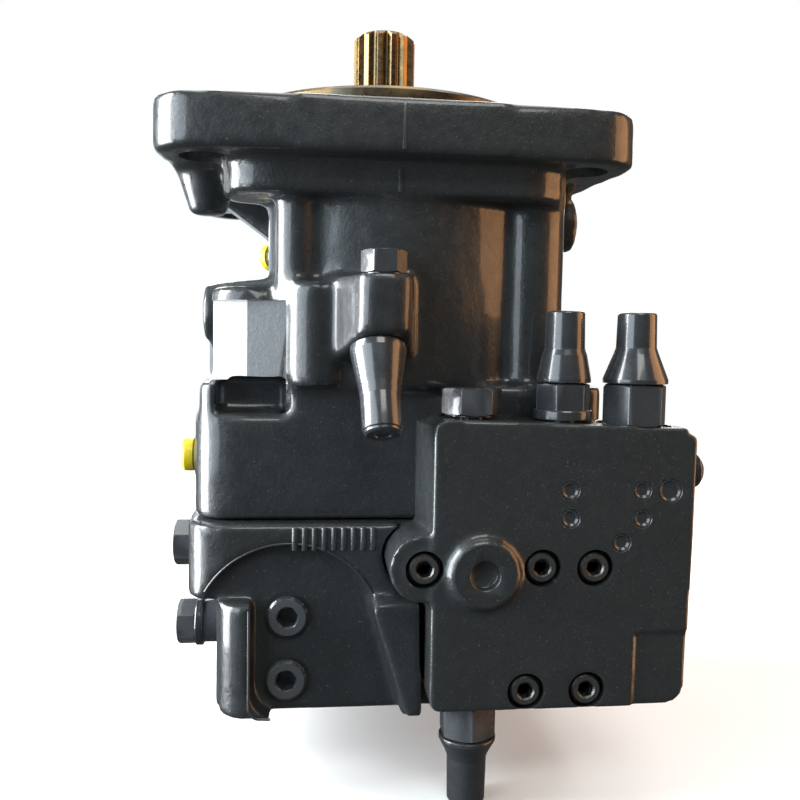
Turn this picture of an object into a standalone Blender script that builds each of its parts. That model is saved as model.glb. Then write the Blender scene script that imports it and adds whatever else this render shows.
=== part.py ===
"""Variable displacement axial piston pump with its control valve block.

Frame: the origin is the centre of the mounting face, on the shaft's axis. +Z points out along
the shaft, -Y is the side of the control valve block, +X is the pressure side.
All dimensions below are millimetres.
"""
import math

import bmesh
import bpy
from mathutils import Matrix, Vector

MM = 0.001
GAP = 0.3

# Mounting flange: four bolts on a square, round pilot, splined shaft
PILOT_RADIUS = 76.2
PILOT_HEIGHT = 12.7
BOLT_HALF = 80.8
FLANGE_HOLE_RADIUS = 10.3
FLANGE_THICKNESS = 22.0
LOBE_RADIUS = 20.5
EDGE_BOW = 2.7
WAIST_DEPTH = 5.5
SPLINE_TEETH = 14
SPLINE_PITCH_RADIUS = SPLINE_TEETH * 25.4 / 12 / 2
SPLINE_TIP_RADIUS = 15.6
SPLINE_ROOT_RADIUS = 13.4
SHAFT_END = 58.0

# Casings
COLLAR_BOTTOM = -36.5
BARREL_CASE_RADIUS = 88.0
BARREL_CASE_X = 1.0
NECK_LEFT_X = -55.5
NECK_WALL = 4.2
NECK_BOTTOM = -70.0
SHOULDER_Z = -115.0
SHOULDER_STEP_Z = -129.0
SEAM_Z = -174.0
LEDGE_Z = -207.0
PUMP_BOTTOM = -257.0
BLOCK_FACE_Y = -82.0
BACK_FACE_Y = 84.0
LEFT_X = -86.0
RIGHT_X = 94.0
CAVITY_RADIUS = 69.0
CAVITY_TOP = -40.0

# Rotating group and swashplate
TILT = math.radians(17.0)
TILT_Z = -80.0
PISTON_COUNT = 9
PITCH_RADIUS = 37.5
SHOE_PITCH_RADIUS = 2 * PITCH_RADIUS / (1 + math.cos(TILT))
PISTON_RADIUS = 9.5
BORE_RADIUS = 11.0
SHOE_BALL_RADIUS = 6.2
SOCKET_RADIUS = 6.8
SHOE_FACE = 10.0
SHOE_RADIUS = 11.0
SHOE_NECK_RADIUS = 8.4
BARREL_TOP = -100.0
BARREL_BOTTOM = -169.5
BARREL_RADIUS = 54.5
CRADLE_RADIUS = 44.0
CRADLE_INNER_X = 31.5
CRADLE_OUTER_X = 50.0
SWASH_RADIUS = 52.0
SWASH_FLAT_X = 50.3
STROKE_XY = (-38.0, -65.5)
STROKE_LUG_XY = (-38.0, -62.0)
COUNTER_XY = (57.0, 55.2)
COUNTER_LUG_XY = (57.0, 58.0)
LUG_RADIUS = 6.5
SERVO_RADIUS = 10.0
SERVO_BORE_BOTTOM = -146.0
SHAFT_RADIUS = 15.0

# Control valve block and what sticks out of it
VALVE_FRONT_Y = -115.0
VALVE_MID_Y = -98.0
VALVE_LEFT_X = 12.5
VALVE_RIGHT_X = 121.0
VALVE_EAR_RADIUS = 14.0
VALVE_BOTTOM = -246.0
SPOOL_Z = -149.5
BLOCK_SCREWS = ((9.7, -187.3), (57.8, -187.0), (79.8, -187.2), (52.2, -238.0), (77.7, -238.0))
SCREW_HEAD_RADIUS = 6.5
TIE_BOLTS = ((-62.0, -64.0), (-62.0, 64.0), (76.0, -64.0), (76.0, 64.0))
TIE_HEAD_RADIUS = 9.0
PRESSURE_PORT = (0.0, -212.0, 12.5)
SUCTION_PORT = (-28.0, -220.0, 24.0)
PORT_PLUGS = ((-44.9, -214.0), (-45.3, -241.4))
PLUG_POCKET_Y = -86.0
RELIEF_PLUG_XY = (-7.0, -98.3)
RELIEF_FOOT = Vector((-9.0, -99.0, -99.0))
RELIEF_AXIS = Vector((0.03, -0.42, -0.90)).normalized()
SHAFT_STEPS = (
    (15.2, -12, -6), (17, -6, 5.4), (17.5, 5.4, 26), (21, 26, 34), (SHAFT_RADIUS, 34, 190.5),
)

AXIS_X = Vector((1, 0, 0))
AXIS_Y = Vector((0, 1, 0))
AXIS_Z = Vector((0, 0, 1))


def clear_scene():
    for obj in list(bpy.data.objects):
        bpy.data.objects.remove(obj, do_unlink=True)
    for collection in list(bpy.data.collections):
        bpy.data.collections.remove(collection)


def new_collection(name):
    collection = bpy.data.collections.new(name)
    bpy.context.scene.collection.children.link(collection)
    return collection


def make_material(name, colour, roughness, metallic):
    material = bpy.data.materials.new(name)
    material.use_nodes = True
    shader = material.node_tree.nodes["Principled BSDF"]
    shader.inputs["Base Color"].default_value = (*colour, 1.0)
    shader.inputs["Roughness"].default_value = roughness
    shader.inputs["Metallic"].default_value = metallic
    return material


clear_scene()
PARTS = new_collection("axial_piston_pump")
CUTTERS = new_collection("cutters")

PAINT = make_material("grey_paint", (0.055, 0.062, 0.068), 0.3, 0.0)
STEEL = make_material("bare_steel", (0.55, 0.52, 0.47), 0.3, 1.0)
HARD_STEEL = make_material("ground_steel", (0.62, 0.62, 0.63), 0.2, 1.0)
BRONZE = make_material("bronze", (0.6, 0.42, 0.2), 0.35, 1.0)
BEARING_STEEL = make_material("bearing_steel", (0.66, 0.67, 0.69), 0.18, 1.0)
BLACK_STEEL = make_material("black_oxide_steel", (0.05, 0.052, 0.055), 0.4, 0.8)
YELLOW = make_material("yellow_plastic", (0.9, 0.72, 0.05), 0.45, 0.0)
SEAL_RUBBER = make_material("seal_rubber", (0.03, 0.03, 0.03), 0.7, 0.0)


def aim(origin, direction):
    """Matrix that puts local +Z along direction, at a point given in millimetres."""
    turn = AXIS_Z.rotation_difference(Vector(direction).normalized()).to_matrix().to_4x4()
    return Matrix.Translation(Vector(origin) * MM) @ turn


def add_object(name, mesh, matrix, material=None):
    """Link a mesh as a part, or as a cutter when it has no material."""
    obj = bpy.data.objects.new(name, mesh)
    obj.matrix_world = matrix
    if material is None:
        CUTTERS.objects.link(obj)
        obj.hide_render = True
        obj.display_type = "WIRE"
    else:
        PARTS.objects.link(obj)
        mesh.materials.append(material)
        mesh.shade_smooth()
        mesh.set_sharp_from_angle(angle=math.radians(35))
    return obj


def mesh_from(bm, name):
    mesh = bpy.data.meshes.new(name)
    bm.to_mesh(mesh)
    bm.free()
    return mesh


def facets(radius):
    """Sides of a round piece: a larger one has more."""
    return 4 * max(3, round(1.05 * math.sqrt(radius)))


def cone(name, radii, start, end, material=None, segments=None):
    """Cone or cylinder from start to end, with its origin at start."""
    start = Vector(start)
    span = Vector(end) - start
    segments = segments or facets(max(radii))
    bm = bmesh.new()
    bmesh.ops.create_cone(bm, cap_ends=True, segments=segments, radius1=radii[0] * MM,
                          radius2=radii[1] * MM, depth=span.length * MM)
    bmesh.ops.translate(bm, vec=(0, 0, span.length * MM / 2), verts=bm.verts)
    return add_object(name, mesh_from(bm, name), aim(start, span), material)


def cylinder(name, radius, start, end, material=None, segments=None):
    return cone(name, (radius, radius), start, end, material, segments)


def hexagon(name, across_flats, start, end, material=None):
    return cylinder(name, across_flats / math.sqrt(3), start, end, material, segments=6)


def box(name, low, high, material=None, turn=0.0):
    """Box between two corners; turn spins it about the world's Z axis."""
    low = Vector(low)
    high = Vector(high)
    bm = bmesh.new()
    bmesh.ops.create_cube(bm, size=1.0)
    bmesh.ops.scale(bm, vec=(high - low) * MM, verts=bm.verts)
    bmesh.ops.translate(bm, vec=(low + high) * MM / 2, verts=bm.verts)
    return add_object(name, mesh_from(bm, name), Matrix.Rotation(turn, 4, "Z"), material)


def turned(name, profile, origin, direction, material=None, segments=None, ring=False):
    """Turn (radius, height) points, listed down the outer side, about the direction."""
    bm = bmesh.new()
    verts = [bm.verts.new((radius * MM, 0, height * MM)) for radius, height in profile]
    for first, second in zip(verts, verts[1:]):
        bm.edges.new((first, second))
    if ring:
        bm.edges.new((verts[-1], verts[0]))
    obj = add_object(name, mesh_from(bm, name), aim(origin, direction), material)
    screw = obj.modifiers.new("turn", "SCREW")
    screw.axis = "Z"
    screw.steps = segments or facets(max(radius for radius, _ in profile))
    screw.render_steps = screw.steps
    screw.use_merge_vertices = True
    screw.merge_threshold = 0.000001
    screw.use_smooth_shade = True
    return obj


def stepped(name, steps, origin, direction, material=None, segments=None):
    """Turned piece of (radius, from, to) steps, measured inward against the direction."""
    profile = [(0, -steps[0][1])]
    for radius, start, end in steps:
        profile.append((radius, -start))
        profile.append((radius, -end))
    profile.append((0, -steps[-1][2]))
    return turned(name, profile, origin, direction, material, segments)


PLANES = {
    "XY": Matrix.Identity(4),
    "XZ": Matrix(((1, 0, 0, 0), (0, 0, -1, 0), (0, 1, 0, 0), (0, 0, 0, 1))),
    "YZ": Matrix(((0, 0, 1, 0), (1, 0, 0, 0), (0, 1, 0, 0), (0, 0, 0, 1))),
}
PLANE_NORMALS = {"XY": AXIS_Z, "XZ": AXIS_Y, "YZ": AXIS_X}


def prism(name, outline, low, high, plane="XY", material=None):
    """Flat outline extruded from low to high along the plane's normal."""
    curve = bpy.data.curves.new(name, "CURVE")
    curve.dimensions = "2D"
    curve.fill_mode = "BOTH"
    curve.extrude = abs(high - low) * MM / 2
    spline = curve.splines.new("POLY")
    spline.points.add(len(outline) - 1)
    for point, (u, v) in zip(spline.points, outline):
        point.co = (u * MM, v * MM, 0, 1)
    spline.use_cyclic_u = True
    guide = bpy.data.objects.new(name + "_curve", curve)
    CUTTERS.objects.link(guide)
    depsgraph = bpy.context.evaluated_depsgraph_get()
    mesh = bpy.data.meshes.new_from_object(guide.evaluated_get(depsgraph))
    bpy.data.objects.remove(guide, do_unlink=True)
    bm = bmesh.new()
    bm.from_mesh(mesh)
    bmesh.ops.remove_doubles(bm, verts=bm.verts, dist=0.000001)
    bmesh.ops.recalc_face_normals(bm, faces=bm.faces)
    bm.to_mesh(mesh)
    bm.free()
    middle = PLANE_NORMALS[plane] * (low + high) / 2
    return add_object(name, mesh, Matrix.Translation(middle * MM) @ PLANES[plane], material)


def arc(centre, radius, start_deg, end_deg, steps):
    """Points on an arc, both ends included."""
    points = []
    for index in range(steps + 1):
        angle = math.radians(start_deg + (end_deg - start_deg) * index / steps)
        points.append((centre[0] + radius * math.cos(angle), centre[1] + radius * math.sin(angle)))
    return points


def bowed(start, end, bow, steps):
    """Points strictly between two ends, on a shallow arch bow high on the right of the way."""
    start = Vector(start)
    end = Vector(end)
    along = end - start
    side = Vector((along.y, -along.x)).normalized()
    points = []
    for index in range(1, steps):
        t = index / steps
        points.append(tuple(start + along * t + side * bow * 4 * t * (1 - t)))
    return points


def rounded(corners, steps=4):
    """Outline with each (x, y, radius) corner rounded; a corner of radius 0 stays sharp."""
    points = []
    count = len(corners)
    for index, (x, y, radius) in enumerate(corners):
        corner = Vector((x, y))
        if radius == 0:
            points.append((x, y))
            continue
        back = (Vector(corners[index - 1][:2]) - corner).normalized()
        ahead = (Vector(corners[(index + 1) % count][:2]) - corner).normalized()
        half = back.angle(ahead) / 2
        centre = corner + (back + ahead).normalized() * radius / math.sin(half)
        first = corner + back * radius / math.tan(half) - centre
        last = corner + ahead * radius / math.tan(half) - centre
        sweep = first.angle_signed(last)
        for step in range(steps + 1):
            turn = Matrix.Rotation(-sweep * step / steps, 2)
            points.append(tuple(centre + turn @ first))
    return points


def rectangle(low, high, radius, steps=4):
    """Rounded rectangle; radius is one number, or one for each corner from low, low round."""
    radii = radius if isinstance(radius, tuple) else (radius,) * 4
    corners = ((low[0], low[1]), (high[0], low[1]), (high[0], high[1]), (low[0], high[1]))
    return rounded([(x, y, r) for (x, y), r in zip(corners, radii)], steps)


def combine(target, operation, tools):
    for tool in tools:
        modifier = target.modifiers.new(tool.name, "BOOLEAN")
        modifier.operation = operation
        modifier.solver = "EXACT"
        modifier.object = tool
    return target


def join(target, *tools):
    return combine(target, "UNION", tools)


def cut(target, *tools):
    return combine(target, "DIFFERENCE", tools)


def kidney(radius, half_width, middle_deg, half_span_deg):
    """Outline of a curved slot with round ends."""
    low = middle_deg - half_span_deg
    high = middle_deg + half_span_deg
    points = arc((0, 0), radius + half_width, low, high, 8)
    end = arc((0, 0), radius, high, high, 1)[0]
    points += arc(end, half_width, high, high + 180, 4)[1:-1]
    points += arc((0, 0), radius - half_width, high, low, 8)
    start = arc((0, 0), radius, low, low, 1)[0]
    points += arc(start, half_width, low + 180, low + 360, 4)[1:-1]
    return points


# ---------------------------------------------------------------- main casing

def flange_outline():
    """Four lobes joined by slightly bowed front and back edges and waisted sides."""
    b = BOLT_HALF
    lean = 12.0
    front_left = arc((-b, -b), LOBE_RADIUS, 180 - lean, 270, 7)
    front_right = arc((b, -b), LOBE_RADIUS, 270, 360 + lean, 7)
    back_right = arc((b, b), LOBE_RADIUS, -lean, 90, 7)
    back_left = arc((-b, b), LOBE_RADIUS, 90, 180 + lean, 7)
    points = front_left + bowed(front_left[-1], front_right[0], EDGE_BOW, 8)
    points += front_right + bowed(front_right[-1], back_right[0], -WAIST_DEPTH, 6)
    points += back_right + bowed(back_right[-1], back_left[0], EDGE_BOW, 8)
    points += back_left + bowed(back_left[-1], front_left[0], -WAIST_DEPTH, 6)
    return points


def relief_boss():
    """Lump on the front that holds the relief valve, cut square to the valve's leaning axis."""
    boss = prism("relief_boss", rounded([(-16, -112, 4), (3, -112, 6), (7, -84, 0), (-29, -84, 0)]),
                 -116, -70)
    below = cylinder("relief_boss_trim", 60, RELIEF_FOOT, RELIEF_FOOT + RELIEF_AXIS * 60)
    return cut(boss, below)


def clipped_circle(centre_x, radius, left_x, corner_radius, steps):
    """Circle cut off by a straight left side, with its two corners rounded."""
    corner = math.degrees(math.acos((left_x - centre_x) / radius))
    corner_y = radius * math.sin(math.radians(corner))
    clear = corner - (10 if corner_radius else 1)
    points = [(x, y, 0) for x, y in arc((centre_x, 0), radius, -clear, clear, steps)]
    return rounded(points + [(left_x, corner_y, corner_radius), (left_x, -corner_y, corner_radius)], 3)


def casing_additions():
    """What the main casing carries round its flange: collar, body, columns, bosses, pads."""
    low_corners = (16, 10, 14, 14)
    columns = (
        cylinder("left_column", 17.5, (-62.5, -60, -116), (-62.5, -60, -74)),
        cylinder("counter_column", 20.0, (60, 60, -116), (60, 60, -21)),
        cylinder("right_column", 16.0, (62, -62, -116), (62, -62, -21)),
        cylinder("front_column", 12.5, (-34.5, -79, -116), (-34.5, -79, -72)),
        cylinder("front_column_top", 9.5, (-42.5, -75, -80), (-42.5, -75, -30)),
    )
    return (
        cylinder("pilot", PILOT_RADIUS, (0, 0, -2), (0, 0, PILOT_HEIGHT - 1.2)),
        cone("pilot_edge", (PILOT_RADIUS, PILOT_RADIUS - 1.2), (0, 0, PILOT_HEIGHT - 1.2),
             (0, 0, PILOT_HEIGHT)),
        prism("collar", rounded([(-74, -91, 20), (77, -91, 24), (77, 88, 24), (NECK_LEFT_X, 88, 24),
                                 (NECK_LEFT_X, -48, 6), (-74, -56, 8)], 4), COLLAR_BOTTOM, -20),
        prism("neck", clipped_circle(BARREL_CASE_X, BARREL_CASE_RADIUS, NECK_LEFT_X, 28, 32),
              NECK_BOTTOM - 1, -21),
        cylinder("upper_body", BARREL_CASE_RADIUS, (BARREL_CASE_X, 0, SHOULDER_Z - 2),
                 (BARREL_CASE_X, 0, NECK_BOTTOM)),
        prism("lower_body", rectangle((LEFT_X, BLOCK_FACE_Y), (RIGHT_X, BACK_FACE_Y), low_corners),
              SEAM_Z + GAP, SHOULDER_Z),
        *columns,
        relief_boss(),
        box("relief_web", (-20, -98, -84), (6, -80, -70)),
        cylinder("drain_boss_right", 13.5, (70, -8, -35), (99, -8, -35)),
        cylinder("drain_boss_left", 9.0, (-38, 41, -48), (-57, 60, -48)),
        cylinder("side_boss", 13.5, (-70, -28, -84), (LEFT_X - 0.4, -28, -84)),
        box("left_facet", (-60, -79.5, -116), (-44, -60, -80)),
        cylinder("lobe_web_left", 8.2, (-82.6, -49, -41), (-82.6, -49, -21)),
        cylinder("lobe_web_right", 9.0, (80, 52, -38), (80, 52, -21)),
        cylinder("side_pad", 12.0, (LEFT_X + 4, -46, -150), (LEFT_X - 2.5, -46, -150)),
    )


def servo_pockets():
    """Room for the swashplate's two arms, with a bore below each for its servo piston."""
    cutters = []
    for name, lug, pocket, radius, reach, half, top in (
            ("stroke", STROKE_LUG_XY, (-38, -63.5), 10, 70, 10.5, -56),
            ("counter", COUNTER_LUG_XY, (58, 57), 14.5, 82, 14.5, -38)):
        x, y = pocket
        cutters.append(cylinder(name + "_pocket", radius, (x, y, -95), (x, y, top)))
        cutters.append(box(name + "_passage", (56, -half, -95), (reach, half, top),
                           turn=math.atan2(lug[1], lug[0])))
    for name, (x, y) in (("stroke", STROKE_XY), ("counter", COUNTER_XY)):
        cutters.append(cylinder(name + "_bore", SERVO_RADIUS + GAP, (x, y, SERVO_BORE_BOTTOM),
                                (x, y, NECK_BOTTOM)))
    return cutters


def cradle_seats():
    """Two blocks on the front wall that carry the cradle bearings."""
    seats = []
    for side in (-1, 1):
        near, far = sorted((side * (CRADLE_INNER_X - 2), side * (CRADLE_OUTER_X + 3)))
        seats.append(box(f"cradle_seat_{side}", (near, -34, -45), (far, 34, CAVITY_TOP + 2)))
    return seats


def front_bores():
    """Cradle seat arc, then the bearing, seal and retaining ring bores on the shaft's axis."""
    seat_radius = CRADLE_RADIUS + 3 + GAP
    return (
        cylinder("seat_arc", seat_radius, (-52, 0, TILT_Z), (52, 0, TILT_Z), segments=48),
        cylinder("bearing_bore", 31 + GAP, (0, 0, TILT_Z), (0, 0, -6)),
        cylinder("seal_bore", 26.3, (0, 0, -8), (0, 0, 6)),
        cylinder("seal_mouth", 30, (0, 0, 5.5), (0, 0, PILOT_HEIGHT + 1)),
    )


def casing_holes():
    """Bolt holes, tapped holes and plug seats in the main casing."""
    b = BOLT_HALF
    holes = []
    for index, (x, y) in enumerate(((-b, -b), (b, -b), (b, b), (-b, b))):
        holes.append(cylinder(f"flange_hole_{index}", FLANGE_HOLE_RADIUS, (x, y, -30), (x, y, 5)))
    for index, (x, y) in enumerate(TIE_BOLTS):
        holes.append(cylinder(f"tie_thread_{index}", 6 + GAP, (x, y, -180), (x, y, -154.7)))
    return holes + [
        cylinder("drain_port_right", 8.5, (82, -8, -35), (101, -8, -35)),
        cylinder("transport_plug_seat", 6 + GAP, (-96, -46, -150), (-79.7, -46, -150)),
        cylinder("relief_plug_seat", 5 + GAP, (*RELIEF_PLUG_XY, -80.3), (*RELIEF_PLUG_XY, -60)),
        cylinder("relief_cap_seat", 7 + GAP, RELIEF_FOOT - RELIEF_AXIS * 10.3,
                 RELIEF_FOOT + RELIEF_AXIS * 2),
        box("front_recess", (-76, -96, -128.5), (-45, -62, -112.5)),
        box("shoulder_step", (-96, -96, SHOULDER_STEP_Z), (LEFT_X + 2.2, 96, SHOULDER_Z + 1)),
    ]


def main_casing():
    casing = prism("pump_housing", flange_outline(), -FLANGE_THICKNESS, 0, material=PAINT)
    join(casing, *casing_additions())
    neck_room = clipped_circle(0, CAVITY_RADIUS, NECK_LEFT_X + NECK_WALL, 0, 24)
    cut(casing,
        cylinder("cavity", CAVITY_RADIUS, (0, 0, SEAM_Z - 1), (0, 0, NECK_BOTTOM - NECK_WALL)),
        prism("neck_cavity", neck_room, NECK_BOTTOM - 10, CAVITY_TOP))
    cut(casing, *servo_pockets())
    join(casing, *cradle_seats())
    cut(casing, *front_bores())
    cut(casing, *casing_holes())


# ---------------------------------------------------------------- port plate

def kidney_pair(low, high):
    """Cutters for the pressure and suction slots, between two heights."""
    return [prism(f"kidney_{middle}_{round(low)}", kidney(PITCH_RADIUS, 5.0, middle, 62), low, high)
            for middle in (0, 180)]


def port_plate_additions():
    left = LEFT_X - 2
    band = rounded([(left, -90, 16), (3, -90, 3), (5, BLOCK_FACE_Y, 0),
                    (RIGHT_X, BLOCK_FACE_Y, 10), (RIGHT_X, BACK_FACE_Y, 14), (left, BACK_FACE_Y, 14)])
    nose = rounded([(-74, -96, 13), (8, -96, 2), (8, -80, 0), (-74, -80, 0)], 5)
    wedge = [(-10.5, LEDGE_Z + 2), (10, LEDGE_Z + 2), (12, -253.5), (5, -253.5)]
    return (
        prism("port_plate_band", band, LEDGE_Z, SEAM_Z),
        box("port_plate_pad", (-89, -62, LEDGE_Z), (-80, 24, SEAM_Z - 2)),
        prism("port_plate_nose", nose, -255, LEDGE_Z),
        prism("port_plate_wedge", wedge, -101, -80, "XZ"),
        prism("suction_face", rectangle((-82, PUMP_BOTTOM + 1), (26, SEAM_Z - 1), 20), 60,
              BACK_FACE_Y + 2, "XZ"),
        cylinder("pressure_face", 34, (70, 0, -212), (RIGHT_X + 2, 0, -212)),
    )


def port_passages():
    """Suction and pressure bores that meet the kidney slots, and the rear bearing's seat."""
    y, z, radius = PRESSURE_PORT
    x, low_z, wide = SUCTION_PORT
    return [
        *kidney_pair(-204, SEAM_Z + 1),
        cylinder("pressure_bore", radius, (30, y, z), (RIGHT_X + 3, y, z)),
        cylinder("suction_bore", wide, (x, -20, low_z), (x, BACK_FACE_Y + 3, low_z)),
        cylinder("rear_bearing_seat", 26.3, (0, 0, -192), (0, 0, SEAM_Z + 1)),
    ]


def port_bolt_holes():
    """Four threads round each port, on the usual rectangular patterns."""
    holes = []
    for i, (u, v) in enumerate(((-1, -1), (1, -1), (1, 1), (-1, 1))):
        y, z, _ = PRESSURE_PORT
        start = Vector((RIGHT_X - 16, y + u * 13.9, z + v * 28.6))
        holes.append(cylinder(f"pressure_thread_{i}", 5.1, start, start + AXIS_X * 20))
        x, z, _ = SUCTION_PORT
        start = Vector((x + u * 38.9, BACK_FACE_Y - 13, z + v * 21.45))
        holes.append(cylinder(f"suction_thread_{i}", 5.1, start, start + AXIS_Y * 20))
    return holes


def port_plate_holes():
    holes = []
    for i, (x, y) in enumerate(TIE_BOLTS):
        holes.append(cylinder(f"tie_hole_{i}", 6 + GAP, (x, y, -250), (x, y, -170)))
        holes.append(cylinder(f"tie_head_{i}", TIE_HEAD_RADIUS + 1, (x, y, PUMP_BOTTOM - 1),
                              (x, y, -243)))
    for i, (x, z) in enumerate(BLOCK_SCREWS):
        holes.append(cylinder(f"block_thread_{i}", 4 + GAP, (x, -102, z), (x, -73.7, z)))
    for i, (x, z) in enumerate(PORT_PLUGS):
        holes.append(cylinder(f"port_plug_seat_{i}", 6.5 + GAP, (x, -97, z), (x, -78.2, z)))
    upper_seat = cylinder("side_plug_seat", 6 + GAP, (-92, -40, -201.5 + 9), (-77.7, -40, -192.5))
    lower_seat = cylinder("side_sleeve_seat", 7 + GAP, (-80, -40, -230.5), (-65.7, -40, -230.5))
    return holes + [upper_seat, lower_seat]


def port_plate():
    body = rectangle((-76, BLOCK_FACE_Y), (RIGHT_X - 2, BACK_FACE_Y), (8, 10, 14, 14))
    plate = prism("port_plate", body, PUMP_BOTTOM, LEDGE_Z + 2, material=PAINT)
    join(plate, *port_plate_additions())
    dome = prism("dome_recess", arc((-44.5, -222), 39.2, 22.5, 157.5, 20), -110, PLUG_POCKET_Y, "XZ")
    face = prism("plug_pocket", rounded([(-60, -254, 12), (5.5, -262, 0), (-10.5, -204, 0),
                                         (-60, -204, 0)]), -110, PLUG_POCKET_Y, "XZ")
    ear_x, ear_z = BLOCK_SCREWS[0]
    ear_room = cylinder("valve_ear_room", VALVE_EAR_RADIUS + 2 * GAP, (ear_x, BLOCK_FACE_Y, ear_z),
                        (ear_x, -120, ear_z))
    cut(plate, dome, face, ear_room)
    cut(plate, *port_passages())
    cut(plate, *port_bolt_holes())
    cut(plate, *port_plate_holes())


# ---------------------------------------------------------------- control valve block

def valve_block():
    outline = rounded([(VALVE_LEFT_X, VALVE_BOTTOM, 5), (VALVE_RIGHT_X - 1, VALVE_BOTTOM + 0.7, 8),
                       (VALVE_RIGHT_X + 0.5, -133.5, 1.5), (117.5, -132, 0),
                       (117.5, -129.8, 0), (VALVE_LEFT_X, -127, 5)], 3)
    block = prism("control_valve_block", outline, VALVE_FRONT_Y, BLOCK_FACE_Y - GAP, "XZ", PAINT)
    x, z = BLOCK_SCREWS[0]
    boss_foot = (33.8, VALVE_FRONT_Y + 2, -189)
    join(block,
         cylinder("valve_ear", VALVE_EAR_RADIUS, (x, BLOCK_FACE_Y - GAP, z), (x, VALVE_FRONT_Y + 1, z)),
         prism("valve_draft", [(13, -112.5), (9.3, -86), (9.3, BLOCK_FACE_Y - GAP),
                               (14, BLOCK_FACE_Y - GAP), (14, -112.5)], -199, -130),
         cone("valve_boss", (17.5, 13.5), boss_foot, (33.8, VALVE_FRONT_Y - 3.5, -189)))
    mid = VALVE_MID_Y
    cutters = [
        cylinder("valve_boss_dimple", 6, (33.8, -114, -189), (33.8, -125, -189)),
        cylinder("spool_bore", 6 + GAP, (28, mid, SPOOL_Z), (130, mid, SPOOL_Z)),
        cylinder("end_plug_seat", 7 + GAP, (108.7, mid, SPOOL_Z), (130, mid, SPOOL_Z)),
        cylinder("flow_spotface", 15.5, (100.4, mid, -131), (100.4, mid, -120)),
        box("valve_step", (97, -120, -260), (130, VALVE_FRONT_Y + 1.2, -214)),
    ]
    for name, x, low, high in (("top_plug", 30.4, -138, -120), ("pressure_stem", 69.3, -138, -120),
                               ("flow_stem", 100.4, -141.3, -120), ("power_stem", 31.5, -250, -235.7)):
        cutters.append(cylinder(name + "_seat", 6 + GAP, (x, mid, low), (x, mid, high)))
    for i, (x, z) in enumerate(BLOCK_SCREWS):
        cutters.append(cylinder(f"block_hole_{i}", 4.5, (x, -110, z), (x, -80, z)))
        cutters.append(cylinder(f"block_counterbore_{i}", SCREW_HEAD_RADIUS + 1.2, (x, -105.7, z),
                                (x, -125, z)))
    cut(block, *cutters)


def socket_screw(name, head_radius, head_length, shank_radius, length, head_top, direction, flats):
    """Cylinder head screw; direction points out of its head."""
    screw = stepped(name, ((head_radius, 0, head_length), (shank_radius, head_length, length)),
                    head_top, direction, BLACK_STEEL)
    out = Vector(direction)
    top = Vector(head_top)
    return cut(screw, hexagon(name + "_socket", flats, top - out * head_length * 0.6, top + out))


def fasteners():
    for i, (x, z) in enumerate(BLOCK_SCREWS):
        socket_screw(f"block_screw_{i + 1}", SCREW_HEAD_RADIUS, 8, 4, 40, (x, -114, z), -AXIS_Y, 6)
    for i, (x, y) in enumerate(TIE_BOLTS):
        socket_screw(f"tie_bolt_{i + 1}", TIE_HEAD_RADIUS, 12, 6, 100, (x, y, -255.3), -AXIS_Z, 10)


def hex_plug(name, flats, height, stem_radius, stem_length, foot, direction, material=PAINT):
    """Hexagon plug whose head stands on foot and points along direction."""
    out = Vector(direction).normalized()
    foot = Vector(foot) + out * GAP
    head = hexagon(name, flats, foot, foot + out * height, material)
    return join(head, cylinder(name + "_stem", stem_radius, foot + out, foot - out * stem_length))


def adjuster(name, foot, direction, flats, hex_length, collar, cone_length, cap_length):
    """Set screw body with its stud, and the tamper-proof cap pressed over it."""
    out = Vector(direction).normalized()
    foot = Vector(foot) + out * GAP
    body = hexagon(name + "_body", flats, foot, foot + out * hex_length, PAINT)
    join(body,
         cylinder(name + "_stem", 6, foot + out, foot - out * 9.7),
         cylinder(name + "_stud", 4, foot + out, foot + out * (hex_length + 12)))
    if collar:
        join(body, cylinder(name + "_collar", collar, foot, foot + out * 4))
    root = flats / math.sqrt(3) * 0.97
    cap_foot = foot + out * (hex_length + GAP)
    profile = ((0, cap_length), (7.6, cap_length), (8.3, cap_length - 0.8), (8.4, cone_length),
               (root, 0.6), (root, 0), (5.5, 0), (5.5, 15), (0, 16))
    turned(name + "_cap", profile, cap_foot, out, PAINT)


def valve_fittings():
    mid = VALVE_MID_Y
    adjuster("pressure_adjuster", (69.3, mid, -127.9), AXIS_Z, 20, 15, 12.2, 12.5, 29.5)
    adjuster("flow_adjuster", (100.4, mid, -131), AXIS_Z, 24, 18, 0, 13.5, 29.5)
    adjuster("power_adjuster", (31.5, mid, VALVE_BOTTOM), -AXIS_Z, 21.5, 15.5, 0, 8, 28.5)
    hex_plug("valve_top_plug", 22, 12, 6, 9.7, (30.4, mid, -127.1), AXIS_Z)
    end = VALVE_RIGHT_X + 0.8
    turned("spool_end_plug", ((0, 9), (4.5, 8.6), (7.2, 6.5), (7.5, 5), (7.5, 0), (7, 0), (7, -12),
                              (0, -12)), (end, mid, SPOOL_Z), AXIS_X, PAINT)
    lands = ((6, 0, 20), (3.6, 20, 30), (6, 30, 42), (3.6, 42, 52), (6, 52, 70))
    stepped("control_spool", lands, (105, mid, SPOOL_Z), AXIS_X, HARD_STEEL)


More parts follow.
